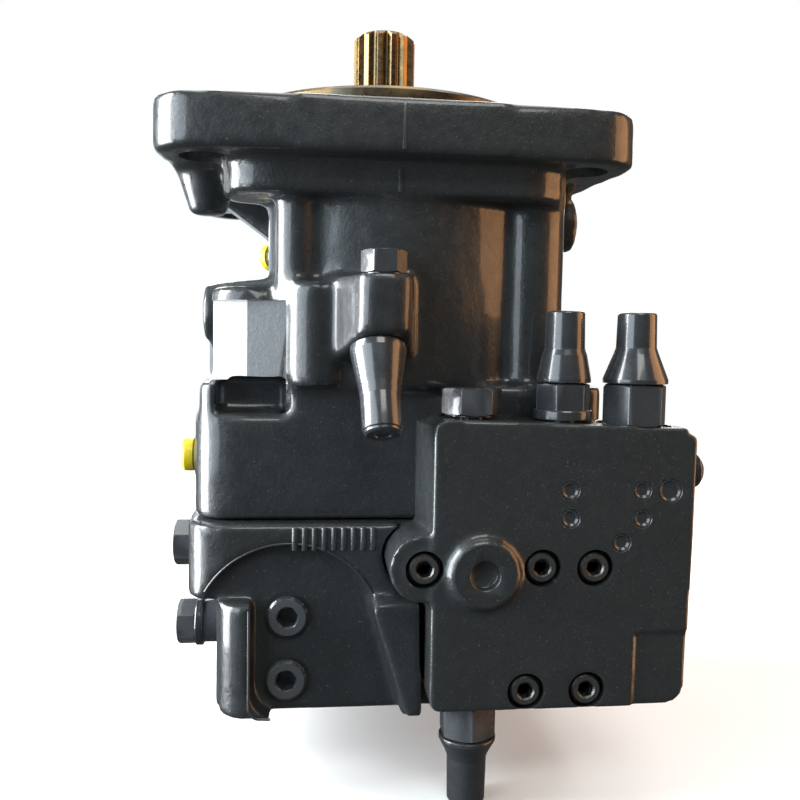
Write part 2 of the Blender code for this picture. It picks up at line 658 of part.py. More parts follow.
def casing_fittings():
    hex_plug("relief_valve_plug", 16.5, 10, 5, 9.7, (*RELIEF_PLUG_XY, -70), AXIS_Z)
    turned("relief_valve_cap", ((0, 38), (6.8, 38), (7.8, 37), (8.2, 36), (8.7, 22), (11.6, 2),
                                (11.6, GAP), (7, GAP), (7, -9.7), (0, -9.7)),
           RELIEF_FOOT, RELIEF_AXIS, PAINT)
    hex_plug("side_plug_upper", 19, 9.2, 6, 11, (-89, -40, -192.5), -AXIS_X)
    sleeve = stepped("side_plug_lower", ((9.8, -10, 0), (7, 0, 9.7)), (-76 - GAP, -40, -230.5),
                     -AXIS_X, PAINT)
    join(sleeve,
         cylinder("side_plug_lower_ring", 11.2, (-85, -40, -230.5), (-88.5, -40, -230.5)),
         hexagon("side_plug_lower_hex", 19, (-88, -40, -230.5), (-97, -40, -230.5)))
    turned("transport_plug", ((0, 5.4), (6.6, 5.4), (7.6, 4.4), (7.6, GAP), (6, GAP), (6, -7.5),
                              (0, -7.5)), (LEFT_X - 2.5, -46, -150), -AXIS_X, YELLOW)
    for name, (x, z) in zip(("port_plug_upper", "port_plug_lower"), PORT_PLUGS):
        plug = turned(name, ((0, 3), (8.2, 3), (9.0, 2.2), (9.0, GAP), (6.5, GAP), (6.5, -7),
                             (0, -7)), (x, PLUG_POCKET_Y, z), -AXIS_Y, PAINT)
        cut(plug, hexagon(name + "_socket", 8, (x, PLUG_POCKET_Y + 3, z),
                          (x, PLUG_POCKET_Y - 6, z)))


# ---------------------------------------------------------------- shaft and rotating group

def spline_outline():
    """Involute-like teeth drawn as straight flanks at thirty degrees."""
    flank = math.tan(math.radians(30))
    half_tooth = math.pi * SPLINE_PITCH_RADIUS / SPLINE_TEETH / 2
    tip = (half_tooth - (SPLINE_TIP_RADIUS - SPLINE_PITCH_RADIUS) * flank) / SPLINE_TIP_RADIUS
    root = (half_tooth + (SPLINE_PITCH_RADIUS - SPLINE_ROOT_RADIUS) * flank) / SPLINE_ROOT_RADIUS
    points = []
    for tooth in range(SPLINE_TEETH):
        middle = 2 * math.pi * tooth / SPLINE_TEETH
        for radius, offset in ((SPLINE_ROOT_RADIUS, -root), (SPLINE_TIP_RADIUS, -tip),
                               (SPLINE_TIP_RADIUS, tip), (SPLINE_ROOT_RADIUS, root)):
            angle = middle + offset
            points.append((radius * math.cos(angle), radius * math.sin(angle)))
    return points


def drive_shaft():
    shaft = prism("drive_shaft", spline_outline(), 11, SHAFT_END, material=STEEL)
    envelope = turned("spline_envelope", ((0, SHAFT_END + 0.5), (12.9, SHAFT_END + 0.5),
                                          (16.5, SHAFT_END - 2.6), (16.5, 5), (0, 5)),
                      (0, 0, 0), AXIS_Z, None, 24)
    combine(shaft, "INTERSECT", (envelope,))
    body = stepped("shaft_body", SHAFT_STEPS, (0, 0, 0), AXIS_Z)
    join(shaft, body)
    shaft_origin = Vector((0, 0, (SHAFT_END + 11) / 2 * MM))
    shaft.data.transform(Matrix.Translation(shaft_origin))
    shaft.matrix_world = Matrix.Identity(4)


def bearings_and_seal():
    turned("front_bearing_cup", ((31, -6.4), (31, -24), (26.4, -24), (28.6, -6.4)), (0, 0, 0), AXIS_Z,
           BEARING_STEEL, ring=True)
    turned("front_bearing_cone", ((28, -6.6), (26, -22.6), (24.6, -25.6), (SHAFT_RADIUS + 2.8, -25.6),
                                  (SHAFT_RADIUS + 2.8, -6.6)), (0, 0, 0), AXIS_Z, BEARING_STEEL,
           ring=True)
    turned("rear_bearing", ((25.7, -176.5), (25.7, -191.6), (15.5, -191.6), (15.5, -176.5)),
           (0, 0, 0), AXIS_Z, BEARING_STEEL, ring=True)
    turned("shaft_seal", ((25.7, 5), (25.7, -5), (17.5, -5), (17.5, -1), (21, 1), (21, 3), (17.6, 5)),
           (0, 0, 0), AXIS_Z, SEAL_RUBBER, ring=True)


def cylinder_barrel():
    barrel = turned("cylinder_barrel", ((21, -95), (21, BARREL_TOP), (52.5, BARREL_TOP),
                                        (BARREL_RADIUS, BARREL_TOP - 2),
                                        (BARREL_RADIUS, BARREL_BOTTOM + 2), (52, BARREL_BOTTOM),
                                        (SHAFT_RADIUS + 0.4, BARREL_BOTTOM),
                                        (SHAFT_RADIUS + 0.4, -95)),
                    (0, 0, 0), AXIS_Z, BRONZE, ring=True)
    for index in range(PISTON_COUNT):
        x, y = piston_place(index, PITCH_RADIUS)
        cut(barrel,
            cylinder(f"barrel_bore_{index}", BORE_RADIUS, (x, y, -158), (x, y, BARREL_TOP + 1)),
            cylinder(f"barrel_port_{index}", 5, (x, y, BARREL_BOTTOM - 1), (x, y, -157)))
    turned("retaining_ball", [(22.8, 5)] + ball_arc(23.4, 0, -36.7, 4) + [(15.5, -14), (15.5, 5)],
           (0, 0, TILT_Z), AXIS_Z, HARD_STEEL, ring=True)


def valve_plate():
    plate = turned("valve_plate", ((52, BARREL_BOTTOM - 0.4), (52, SEAM_Z + GAP), (20, SEAM_Z + GAP),
                                   (20, BARREL_BOTTOM - 0.4)), (0, 0, 0), AXIS_Z, BRONZE,
                   ring=True)
    cut(plate, *kidney_pair(SEAM_Z - 2, BARREL_BOTTOM + 2))


def piston_place(index, radius):
    """Where bore number index sits on a circle, the first one at top dead centre."""
    angle = math.radians(90) + 2 * math.pi * index / PISTON_COUNT
    return radius * math.cos(angle), radius * math.sin(angle)


def ball_arc(radius, start_deg, end_deg, steps):
    """Profile points down a ball's side, angles measured from its equator."""
    return arc((0, 0), radius, start_deg, end_deg, steps)


# ---------------------------------------------------------------- swashplate and shoes

def swash_frame():
    """Empty on the tilt axis, turned to full displacement; everything that tilts is its child."""
    frame = bpy.data.objects.new("swash_frame", None)
    PARTS.objects.link(frame)
    frame.matrix_world = Matrix.Translation((0, 0, TILT_Z * MM)) @ Matrix.Rotation(TILT, 4, "X")
    return frame


def swashplate(frame):
    top = 22.0
    face = SHOE_FACE + GAP
    plate = cylinder("swashplate", SWASH_RADIUS, (0, 0, face), (0, 0, top), HARD_STEEL)
    flats = [box(f"swash_flat_{side}", *zip(*(sorted(pair) for pair in (
        (side * SWASH_FLAT_X, side * 60), (-60, 60), (0, 40))))) for side in (-1, 1)]
    cut(plate, *flats)
    crown = math.degrees(math.asin((top - 1) / CRADLE_RADIUS))
    crown_outline = arc((0, 0), CRADLE_RADIUS, crown, 180 - crown, 16)
    pieces = [prism(f"cradle_{side}", crown_outline, *sorted((side * (CRADLE_INNER_X + 0.5),
                                                            side * (CRADLE_OUTER_X - 0.5))), "YZ")
              for side in (-1, 1)]
    for name, (x, y) in (("stroke", STROKE_LUG_XY), ("counter", COUNTER_LUG_XY)):
        pieces.append(cylinder(name + "_lug", LUG_RADIUS, (x, y, face), (x, y, top)))
        pieces.append(box(name + "_arm", (SWASH_RADIUS - 10, -LUG_RADIUS, face),
                          (math.hypot(x, y), LUG_RADIUS, top), turn=math.atan2(y, x)))
    join(plate, *pieces)
    hole = cylinder("swash_hole", 24, (0, 0, 0), (0, 0, 60))
    cut(plate, hole)
    for obj in (plate, *flats, *pieces, hole):
        obj.parent = frame


def retaining_plate(frame):
    plate = turned("retaining_plate", ((50.5, 5.6), (50.5, 2.6), (23.9, 2.6), (23.9, 5.6)), (0, 0, 0),
                   AXIS_Z, BRONZE, ring=True)
    plate.parent = frame
    for index in range(PISTON_COUNT):
        x, y = piston_place(index, SHOE_PITCH_RADIUS)
        hole = cylinder(f"shoe_hole_{index}", SHOE_NECK_RADIUS + 0.6, (x, y, 0), (x, y, 8))
        hole.parent = frame
        cut(plate, hole)


def slippers_and_pistons(frame):
    mouth = math.degrees(math.asin(3.5 / SOCKET_RADIUS))
    socket = ball_arc(SOCKET_RADIUS, -mouth, 90, 5)
    shoe = [(0, SHOE_FACE), (SHOE_RADIUS, SHOE_FACE), (SHOE_RADIUS, 6), (SHOE_NECK_RADIUS, 6),
            (SHOE_NECK_RADIUS, -3.5)] + socket[:-1] + [(0, SOCKET_RADIUS)]
    neck = math.degrees(math.acos(4 / SHOE_BALL_RADIUS))
    ball = [(0, SHOE_BALL_RADIUS)] + ball_arc(SHOE_BALL_RADIUS, 62, -neck, 4)
    rod = ball + [(4, -8), (PISTON_RADIUS, -8), (PISTON_RADIUS, -60), (6, -60), (6, -24), (0, -24)]
    tilt = Matrix.Rotation(TILT, 3, "X")
    for index in range(PISTON_COUNT):
        x, y = piston_place(index, SHOE_PITCH_RADIUS)
        slipper = turned(f"slipper_{index + 1}", shoe, (x, y, 0), AXIS_Z, BRONZE, 12)
        slipper.parent = frame
        centre = tilt @ Vector((x, y, 0)) + AXIS_Z * TILT_Z
        turned(f"piston_{index + 1}", rod, centre, AXIS_Z, HARD_STEEL)


def cradle_bearings():
    outer = CRADLE_RADIUS + 3
    inner = CRADLE_RADIUS + 0.4
    outline = arc((0, TILT_Z), outer, 52, 128, 10) + arc((0, TILT_Z), inner, 128, 52, 10)
    for name, side in (("cradle_bearing_left", -1), ("cradle_bearing_right", 1)):
        low, high = sorted((side * (CRADLE_INNER_X + 0.5), side * (CRADLE_OUTER_X - 0.5)))
        prism(name, outline, low, high, "YZ", BRONZE)


def servo_piston(name, x, y, top, length):
    """Short plunger with a domed end that bears on a swashplate arm."""
    dome = arc((0, -14), 14, 90, 45, 4)
    turned(name, dome + [(SERVO_RADIUS - 0.8, -5.2), (SERVO_RADIUS, -6.2),
                         (SERVO_RADIUS, -length), (7, -length), (7, -length + 22), (0, -length + 20)],
           (x, y, top), AXIS_Z, HARD_STEEL)


def build():
    main_casing()
    port_plate()
    valve_block()
    fasteners()
    valve_fittings()
    casing_fittings()
    drive_shaft()
    bearings_and_seal()
    cylinder_barrel()
    valve_plate()
    frame = swash_frame()
    swashplate(frame)
    retaining_plate(frame)
    slippers_and_pistons(frame)
    cradle_bearings()
    servo_piston("stroking_piston", *STROKE_XY, -90.1, 50)
    servo_piston("counter_piston", *COUNTER_XY, -54.1, 60)


build()
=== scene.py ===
"""Looks of the axial piston pump: castings, fittings, shaft, paint and metal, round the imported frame.

Sizes are in millimetres and are turned into metres where an object is made. The frame is the
pump's own: origin on the mounting face, +Z out along the shaft, -Y towards the valve block.
"""
import math

import bmesh
import bpy
import numpy as np
from mathutils import Matrix, Vector, noise

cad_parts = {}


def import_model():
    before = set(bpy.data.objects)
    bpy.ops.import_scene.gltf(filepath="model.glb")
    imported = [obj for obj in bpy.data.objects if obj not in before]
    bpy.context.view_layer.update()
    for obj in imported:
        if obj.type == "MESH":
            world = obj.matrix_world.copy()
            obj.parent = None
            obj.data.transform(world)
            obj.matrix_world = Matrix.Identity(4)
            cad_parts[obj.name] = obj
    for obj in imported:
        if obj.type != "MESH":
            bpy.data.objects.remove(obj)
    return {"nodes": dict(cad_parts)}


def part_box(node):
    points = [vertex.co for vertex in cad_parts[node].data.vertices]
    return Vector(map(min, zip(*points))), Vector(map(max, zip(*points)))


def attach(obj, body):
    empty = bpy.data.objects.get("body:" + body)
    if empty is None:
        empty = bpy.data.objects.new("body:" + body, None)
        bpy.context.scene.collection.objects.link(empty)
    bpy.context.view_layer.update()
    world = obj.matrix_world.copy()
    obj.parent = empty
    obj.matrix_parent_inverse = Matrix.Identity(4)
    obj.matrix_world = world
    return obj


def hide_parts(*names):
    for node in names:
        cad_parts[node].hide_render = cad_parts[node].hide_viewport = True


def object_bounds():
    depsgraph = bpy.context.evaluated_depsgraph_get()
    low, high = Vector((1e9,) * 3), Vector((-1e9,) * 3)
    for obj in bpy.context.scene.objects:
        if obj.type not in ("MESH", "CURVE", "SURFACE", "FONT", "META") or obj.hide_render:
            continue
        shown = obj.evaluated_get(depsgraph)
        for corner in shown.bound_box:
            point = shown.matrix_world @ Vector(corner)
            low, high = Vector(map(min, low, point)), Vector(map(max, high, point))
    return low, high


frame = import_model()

CAD_BOX = [list(corner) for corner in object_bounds()]

MM = 0.001
X = Vector((1, 0, 0))
Y = Vector((0, 1, 0))
Z = Vector((0, 0, 1))
ROUND = 96
ANCHOR = "housing"

# Driving dimensions that the frame's boxes don't give
PILOT_RADIUS = 76.2
BOLT_HALF = 80.8
BOLT_HOLE_RADIUS = 10.3
FLANGE_THICKNESS = 22.0
SEAM_Z = -174.0
RELIEF_AXIS = Vector((0.03, -0.42, -0.90)).normalized()
SPLINE_TEETH = 14
SPLINE_PITCH_RADIUS = SPLINE_TEETH * 25.4 / 12 / 2
SPLINE_TIP_RADIUS = 15.6
SPLINE_ROOT_RADIUS = 13.3
SOCKET_HEAD_RADIUS = 6.5
TIE_HEAD_RADIUS = 9.0
PRESSURE_PORT = (0.0, -212.0, 12.5)
SUCTION_PORT = (-28.0, -220.0, 24.0)
PLUG_POCKET_Y = -86.0
PLATE_FRONT_Y = -90.0
NOSE_FRONT_Y = -96.0
VALVE_FACE_Y = -115.0
JOINT_FACE_Y = -82.06
TOP_PLUG_X = 30.4
POWER_ADJUSTER_X = 31.5
PRESSURE_ADJUSTER_X = 69.3
FLOW_ADJUSTER_X = 100.4
DRAIN_PORT = (-8, -35)
EXPANDERS = ((68.4, -155.4, 3.6), (68.7, -166.8, 3.6), (98.5, -155.4, 3.6), (110.3, -155.5, 4.8),
             (98.9, -166.9, 3.6), (90.4, -176.8, 3.6))

# How a casting's skin is made: corner rounding, then long and short waves as (size, depth)
RELAX_SHARE = 0.5
SKIN_WAVES = ((23.0, 0.16), (6.5, 0.05))


# ---------------------------------------------------------------- frame helpers, in millimetres

def low(node):
    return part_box(node)[0] / MM


def high(node):
    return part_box(node)[1] / MM


def middle(node):
    return (low(node) + high(node)) / 2


def aim(origin, direction):
    """Matrix in metres that puts local +Z along direction at a point given in millimetres."""
    turn = Z.rotation_difference(Vector(direction).normalized()).to_matrix().to_4x4()
    return Matrix.Translation(Vector(origin) * MM) @ turn


def aim_side(point, turn_deg):
    """Matrix in metres that moves to a point and turns about the vertical."""
    turn = Matrix.Rotation(math.radians(-turn_deg), 4, "Z")
    return Matrix.Translation(Vector(point) * MM) @ turn


def add_object(name, bm, matrix=None):
    """Object from a bmesh in millimetres."""
    bmesh.ops.recalc_face_normals(bm, faces=bm.faces)
    bmesh.ops.scale(bm, vec=(MM, MM, MM), verts=bm.verts)
    mesh = bpy.data.meshes.new(name)
    bm.to_mesh(mesh)
    bm.free()
    obj = bpy.data.objects.new(name, mesh)
    bpy.context.scene.collection.objects.link(obj)
    obj.matrix_world = matrix or Matrix.Identity(4)
    return obj


def apply_modifiers(obj):
    bpy.context.view_layer.update()
    depsgraph = bpy.context.evaluated_depsgraph_get()
    mesh = bpy.data.meshes.new_from_object(obj.evaluated_get(depsgraph))
    obj.modifiers.clear()
    obj.data = mesh
    return obj


def boolean(target, operation, tools):
    """Add, subtract or intersect the tools with the target; the tools are used up."""
    for tool in tools:
        modifier = target.modifiers.new(tool.name, "BOOLEAN")
        modifier.operation = operation
        modifier.solver = "MANIFOLD"
        modifier.object = tool
    apply_modifiers(target)
    for tool in tools:
        bpy.data.objects.remove(tool, do_unlink=True)
    return target


def bevelled(obj, width, segments=2, angle=30):
    """Small round edges, as a deburred or moulded edge has."""
    modifier = obj.modifiers.new("edge", "BEVEL")
    modifier.width = width * MM
    modifier.segments = segments
    modifier.limit_method = "ANGLE"
    modifier.angle_limit = math.radians(angle)
    return apply_modifiers(obj)


def smooth(obj, angle=38):
    obj.data.shade_smooth()
    obj.data.set_sharp_from_angle(angle=math.radians(angle))
    return obj


# ---------------------------------------------------------------- shapes

def arc(centre, radius, start_deg, end_deg, steps):
    points = []
    for index in range(steps + 1):
        angle = math.radians(start_deg + (end_deg - start_deg) * index / steps)
        points.append((centre[0] + radius * math.cos(angle), centre[1] + radius * math.sin(angle)))
    return points


def filleted(corners, closed, steps=4):
    """Points of an outline whose (u, v, radius) corners are rounded; radius 0 stays sharp."""
    points = []
    count = len(corners)
    for index, (u, v, radius) in enumerate(corners):
        ends = not closed and index in (0, count - 1)
        if radius == 0 or ends:
            points.append((u, v))
            continue
        corner = Vector((u, v))
        back = Vector(corners[index - 1][:2]) - corner
        ahead = Vector(corners[(index + 1) % count][:2]) - corner
        half = back.angle(ahead) / 2
        reach = min(radius / math.tan(half), back.length * 0.49, ahead.length * 0.49)
        radius = reach * math.tan(half)
        centre = corner + (back.normalized() + ahead.normalized()).normalized() * radius / math.sin(half)
        first = corner + back.normalized() * reach - centre
        sweep = first.angle_signed(corner + ahead.normalized() * reach - centre)
        for step in range(steps + 1):
            points.append(tuple(centre + Matrix.Rotation(-sweep * step / steps, 2) @ first))
    return points


def turned(name, corners, origin, direction, segments=ROUND, ring=False):
    """Solid of revolution from (radius, height, fillet) corners, top to bottom down its outer side."""
    profile = filleted(corners, ring)
    bm = bmesh.new()
    verts = [bm.verts.new((radius, 0, height)) for radius, height in profile]
    edges = [bm.edges.new(pair) for pair in zip(verts, verts[1:])]
    if ring:
        edges.append(bm.edges.new((verts[-1], verts[0])))
    bmesh.ops.spin(bm, geom=verts + edges, cent=(0, 0, 0), axis=(0, 0, 1), angle=2 * math.pi,
                   steps=segments, use_merge=True)
    bmesh.ops.remove_doubles(bm, verts=bm.verts, dist=0.0005)
    return add_object(name, bm, aim(origin, direction))


def cylinder(name, radius, start, end, segments=ROUND, end_radius=None):
    span = Vector(end) - Vector(start)
    bm = bmesh.new()
    bmesh.ops.create_cone(bm, cap_ends=True, segments=segments, radius1=radius,
                          radius2=end_radius or radius, depth=span.length)
    bmesh.ops.translate(bm, vec=(0, 0, span.length / 2), verts=bm.verts)
    return add_object(name, bm, aim(start, span))


PLANES = {
    "XY": Matrix.Identity(4),
    "XZ": Matrix(((1, 0, 0, 0), (0, 0, 1, 0), (0, 1, 0, 0), (0, 0, 0, 1))),
}


def prism(name, outline, bottom, top, plane="XY", matrix=None):
    """Flat outline extruded between two distances along the plane's normal."""
    bm = bmesh.new()
    verts = [bm.verts.new((u, v, bottom)) for u, v in outline]
    face = bm.faces.new(verts)
    grown = bmesh.ops.extrude_face_region(bm, geom=[face])["geom"]
    top_verts = [item for item in grown if isinstance(item, bmesh.types.BMVert)]
    bmesh.ops.translate(bm, vec=(0, 0, top - bottom), verts=top_verts)
    bmesh.ops.transform(bm, matrix=PLANES[plane], verts=bm.verts)
    return add_object(name, bm, matrix)


def block(name, corner_a, corner_b):
    a = Vector(corner_a)
    b = Vector(corner_b)
    bm = bmesh.new()
    bmesh.ops.create_cube(bm, size=1.0)
    bmesh.ops.scale(bm, vec=b - a, verts=bm.verts)
    bmesh.ops.translate(bm, vec=(a + b) / 2, verts=bm.verts)
    return add_object(name, bm)


def hexagon(name, flats, foot, height, direction, spin=0.0):
    """Hexagon bar with one corner along local X, turned by spin degrees."""
    across = flats / math.sqrt(3)
    outline = arc((0, 0), across, spin, spin + 300, 5)
    return prism(name, outline, 0, height, matrix=aim(foot, direction))


def hexagon_head(name, flats, foot, height, direction, lower_chamfer=False):
    """Hexagon head with the turned chamfer that leaves an arc on each flat."""
    corner = flats / math.sqrt(3)
    rim = flats / 2 * 0.97
    drop = (corner - rim) * math.tan(math.radians(30))
    head = bevelled(hexagon(name, flats, foot, height, direction), 0.35, 2)
    low_rim = ((corner + 0.3, drop, 0), (rim, 0, 0)) if lower_chamfer else ((corner + 0.3, 0, 0),)
    envelope = turned("chamfer", ((0, height, 0), (rim - 0.4, height, 0), (rim, height - 0.15, 0),
                                  (corner + 0.3, height - drop, 0), *low_rim, (0, 0, 0)),
                      foot, direction)
    return boolean(head, "INTERSECT", [envelope])


# ---------------------------------------------------------------- materials

class Surface:
    """A Principled material whose colour, roughness and bump come from noise in object space."""

    def __init__(self, name, metallic, coat=0.0, coat_roughness=0.1, specular=0.5):
        self.material = bpy.data.materials.new(name)
        self.material.use_nodes = True
        self.nodes = self.material.node_tree.nodes
        self.links = self.material.node_tree.links
        self.shader = self.nodes["Principled BSDF"]
        self.shader.inputs["Metallic"].default_value = metallic
        self.shader.inputs["Coat Weight"].default_value = coat
        self.shader.inputs["Coat Roughness"].default_value = coat_roughness
        self.shader.inputs["Specular IOR Level"].default_value = specular
        self.place = self.nodes.new("ShaderNodeTexCoord").outputs["Object"]
        self.bump = None

    def noise(self, size_mm, detail=3.0, roughness=0.55, stretch=(1, 1, 1)):
        """Noise whose blobs are about size_mm across, from 0 to 1."""
        mapping = self.nodes.new("ShaderNodeMapping")
        mapping.inputs["Scale"].default_value = stretch
        self.links.new(self.place, mapping.inputs["Vector"])
        texture = self.nodes.new("ShaderNodeTexNoise")
        texture.inputs["Scale"].default_value = 1 / (size_mm * MM)
        texture.inputs["Detail"].default_value = detail
        texture.inputs["Roughness"].default_value = roughness
        self.links.new(mapping.outputs["Vector"], texture.inputs["Vector"])
        return texture.outputs["Fac"]

    def rings(self, pitch_mm, wobble=0.6):
        """Turning marks: rings about the local Z axis."""
        texture = self.nodes.new("ShaderNodeTexWave")
        texture.wave_type = "RINGS"
        texture.rings_direction = "Z"
        texture.inputs["Scale"].default_value = 0.31 / (pitch_mm * MM)
        texture.inputs["Distortion"].default_value = wobble
        texture.inputs["Detail"].default_value = 3.0
        self.links.new(self.place, texture.inputs["Vector"])
        return texture.outputs["Fac"]

    def edges(self):
        """Where the mesh is convex, for wear along edges."""
        return self.nodes.new("ShaderNodeNewGeometry").outputs["Pointiness"]

    def spread(self, value, from_low, from_high, to_low=0.0, to_high=1.0):
        """Value moved from one range to another and held inside it."""
        node = self.nodes.new("ShaderNodeMapRange")
        node.inputs["From Min"].default_value = from_low
        node.inputs["From Max"].default_value = from_high
        node.inputs["To Min"].default_value = to_low
        node.inputs["To Max"].default_value = to_high
        self.links.new(value, node.inputs["Value"])
        return node.outputs["Result"]

    def mix(self, factor, first, second):
        """Colour from first to second; each is a colour or an output."""
        node = self.nodes.new("ShaderNodeMix")
        node.data_type = "RGBA"
        self.links.new(factor, node.inputs["Factor"])
        for name, value in (("A", first), ("B", second)):
            target = [entry for entry in node.inputs if entry.name == name and entry.type == "RGBA"][0]
            if isinstance(value, tuple):
                target.default_value = (*value, 1.0)
            else:
                self.links.new(value, target)
        return [entry for entry in node.outputs if entry.type == "RGBA"][0]

    def relief(self, height, depth_mm, strength=1.0):
        """Stack a bump of the given depth on the ones before it."""
        node = self.nodes.new("ShaderNodeBump")
        node.inputs["Distance"].default_value = depth_mm * MM
        node.inputs["Strength"].default_value = strength
        self.links.new(height, node.inputs["Height"])
        if self.bump:
            self.links.new(self.bump, node.inputs["Normal"])
        self.bump = node.outputs["Normal"]

    def finish(self, colour, rough):
        self.links.new(colour, self.shader.inputs["Base Color"])
        self.links.new(rough, self.shader.inputs["Roughness"])
        if self.bump:
            self.links.new(self.bump, self.shader.inputs["Normal"])
        return self.material


def cast_paint():
    """Gloss grey enamel over sand-cast iron: orange peel, grit under the paint, light specks painted
    into the colour as glints, thin edges.
    """
    s = Surface("grey_paint_on_casting", 0.0, coat=0.6, coat_roughness=0.09)
    s.relief(s.noise(14, 2), 0.35)
    s.relief(s.noise(2.4, 4, 0.65), 0.2)
    s.relief(s.noise(0.85, 3, 0.7), 0.08)
    tint = s.mix(s.noise(30, 3), (0.022, 0.025, 0.026), (0.036, 0.041, 0.044))
    # Painted highlight: small lighter specks painted into the colour as glints off the gloss paint
    glint_specks = s.mix(s.spread(s.noise(0.8, 2, 0.7), 0.64, 0.74), tint, (0.12, 0.128, 0.13))
    worn = s.mix(s.spread(s.edges(), 0.53, 0.63), glint_specks, (0.075, 0.084, 0.09))
    return s.finish(worn, s.spread(s.noise(5, 4), 0.3, 0.7, 0.26, 0.44))


def smooth_paint():
    """The same enamel over machined and moulded fittings."""
    s = Surface("grey_paint_on_fittings", 0.0, coat=0.8, coat_roughness=0.07)
    s.relief(s.noise(5, 2), 0.06)
    s.relief(s.noise(1.1, 3, 0.6), 0.014)
    tint = s.mix(s.noise(12, 3), (0.028, 0.031, 0.034), (0.045, 0.05, 0.055))
    worn = s.mix(s.spread(s.edges(), 0.52, 0.62), tint, (0.085, 0.092, 0.1))
    return s.finish(worn, s.spread(s.noise(6, 3), 0.3, 0.7, 0.2, 0.34))


def turned_steel(name, light, dark, warm, ring_mm, rough):
    """Machined steel with fine turning rings, an oily film and a little warm stain."""
    s = Surface(name, 1.0)
    s.relief(s.rings(ring_mm), 0.006, 0.6)
    s.relief(s.noise(1.5, 4, 0.7), 0.006)
    base = s.mix(s.noise(9, 4, 0.65), light, dark)
    stained = s.mix(s.spread(s.noise(16, 4, 0.6), 0.45, 0.72), base, warm)
    return s.finish(stained, s.spread(s.noise(3, 4), 0.3, 0.7, rough, rough + 0.16))


def black_oxide():
    """Blackened screws, rubbed to grey along their edges and in the key's hexagon."""
    s = Surface("black_oxide_on_screws", 0.85)
    s.relief(s.noise(0.8, 3, 0.7), 0.012)
    base = s.mix(s.noise(3.5, 4, 0.7), (0.03, 0.031, 0.032), (0.06, 0.061, 0.062))
    worn = s.mix(s.spread(s.edges(), 0.53, 0.62), base, (0.16, 0.16, 0.155))
    return s.finish(worn, s.spread(s.noise(1.8, 4), 0.3, 0.7, 0.3, 0.5))


def yellow_moulding():
    s = Surface("yellow_transport_plastic", 0.0, coat=0.15, coat_roughness=0.2)
    s.relief(s.noise(0.7, 3), 0.01)
    s.shader.inputs["Subsurface Weight"].default_value = 0.1
    s.shader.inputs["Subsurface Radius"].default_value = (0.002, 0.0015, 0.0005)
    tint = s.mix(s.noise(4, 3), (0.9, 0.72, 0.03), (0.78, 0.58, 0.02))
    return s.finish(tint, s.spread(s.noise(2, 3), 0.3, 0.7, 0.34, 0.5))


def rubber():
    s = Surface("nitrile_rubber", 0.0, specular=0.3)
    s.relief(s.noise(0.5, 4, 0.7), 0.01)
    tint = s.mix(s.noise(3, 4), (0.018, 0.018, 0.018), (0.035, 0.034, 0.033))
    return s.finish(tint, s.spread(s.noise(1.2, 4), 0.3, 0.7, 0.55, 0.8))


PAINT = cast_paint()
FITTING_PAINT = smooth_paint()
SHAFT_STEEL = turned_steel("machined_shaft_steel", (0.24, 0.18, 0.1), (0.15, 0.11, 0.055),
                           (0.3, 0.17, 0.06), 1.2, 0.22)
PILOT_STEEL = turned_steel("machined_pilot_iron", (0.14, 0.124, 0.09), (0.1, 0.084, 0.06),
                           (0.3, 0.18, 0.07), 0.8, 0.26)
GROUND_STEEL = turned_steel("ground_steel_inside", (0.62, 0.62, 0.63), (0.5, 0.5, 0.51),
                            (0.55, 0.5, 0.42), 0.5, 0.12)
BEARING_STEEL = turned_steel("polished_bearing_steel", (0.68, 0.68, 0.7), (0.58, 0.58, 0.6),
                             (0.6, 0.56, 0.5), 0.4, 0.08)
BRONZE = turned_steel("machined_bronze", (0.66, 0.44, 0.2), (0.5, 0.31, 0.12),
                      (0.42, 0.24, 0.1), 0.6, 0.22)
BLACK_STEEL = black_oxide()
YELLOW = yellow_moulding()
RUBBER = rubber()


def place(obj, material, body=ANCHOR, replaces=()):
    """Give a finished piece its material and put it on its body."""
    obj.data.materials.clear()
    obj.data.materials.append(material)
    smooth(obj)
    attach(obj, body)
    if replaces:
        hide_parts(*replaces)
    return obj


# ---------------------------------------------------------------- castings

def welded_copy(name, node):
    """Closed copy of a CAD node's mesh, in the row frame."""
    bm = bmesh.new()
    bm.from_mesh(frame["nodes"][node].data)
    bmesh.ops.remove_doubles(bm, verts=bm.verts, dist=0.000001)
    bmesh.ops.scale(bm, vec=(1 / MM,) * 3, verts=bm.verts)
    return add_object(name, bm)


def merge(target, pieces):
    """Put the pieces' meshes into the target's; they may overlap, because a remesh follows."""
    bm = bmesh.new()
    bm.from_mesh(target.data)
    for piece in pieces:
        bpy.context.view_layer.update()
        piece.data.transform(piece.matrix_world)
        bm.from_mesh(piece.data)
        bpy.data.objects.remove(piece, do_unlink=True)
    bm.to_mesh(target.data)
    bm.free()


def relax(points, edges, share, passes):
    """Move each point by a share of the way to its neighbours' mean, several times over."""
    count = len(points)
    degree = np.bincount(edges.ravel(), minlength=count)
    for _ in range(passes):
        total = np.empty_like(points)
        for axis in range(3):
            total[:, axis] = (np.bincount(edges[:, 0], points[edges[:, 1], axis], count)
                              + np.bincount(edges[:, 1], points[edges[:, 0], axis], count))
        points = points + share * (total / degree[:, None] - points)
    return points


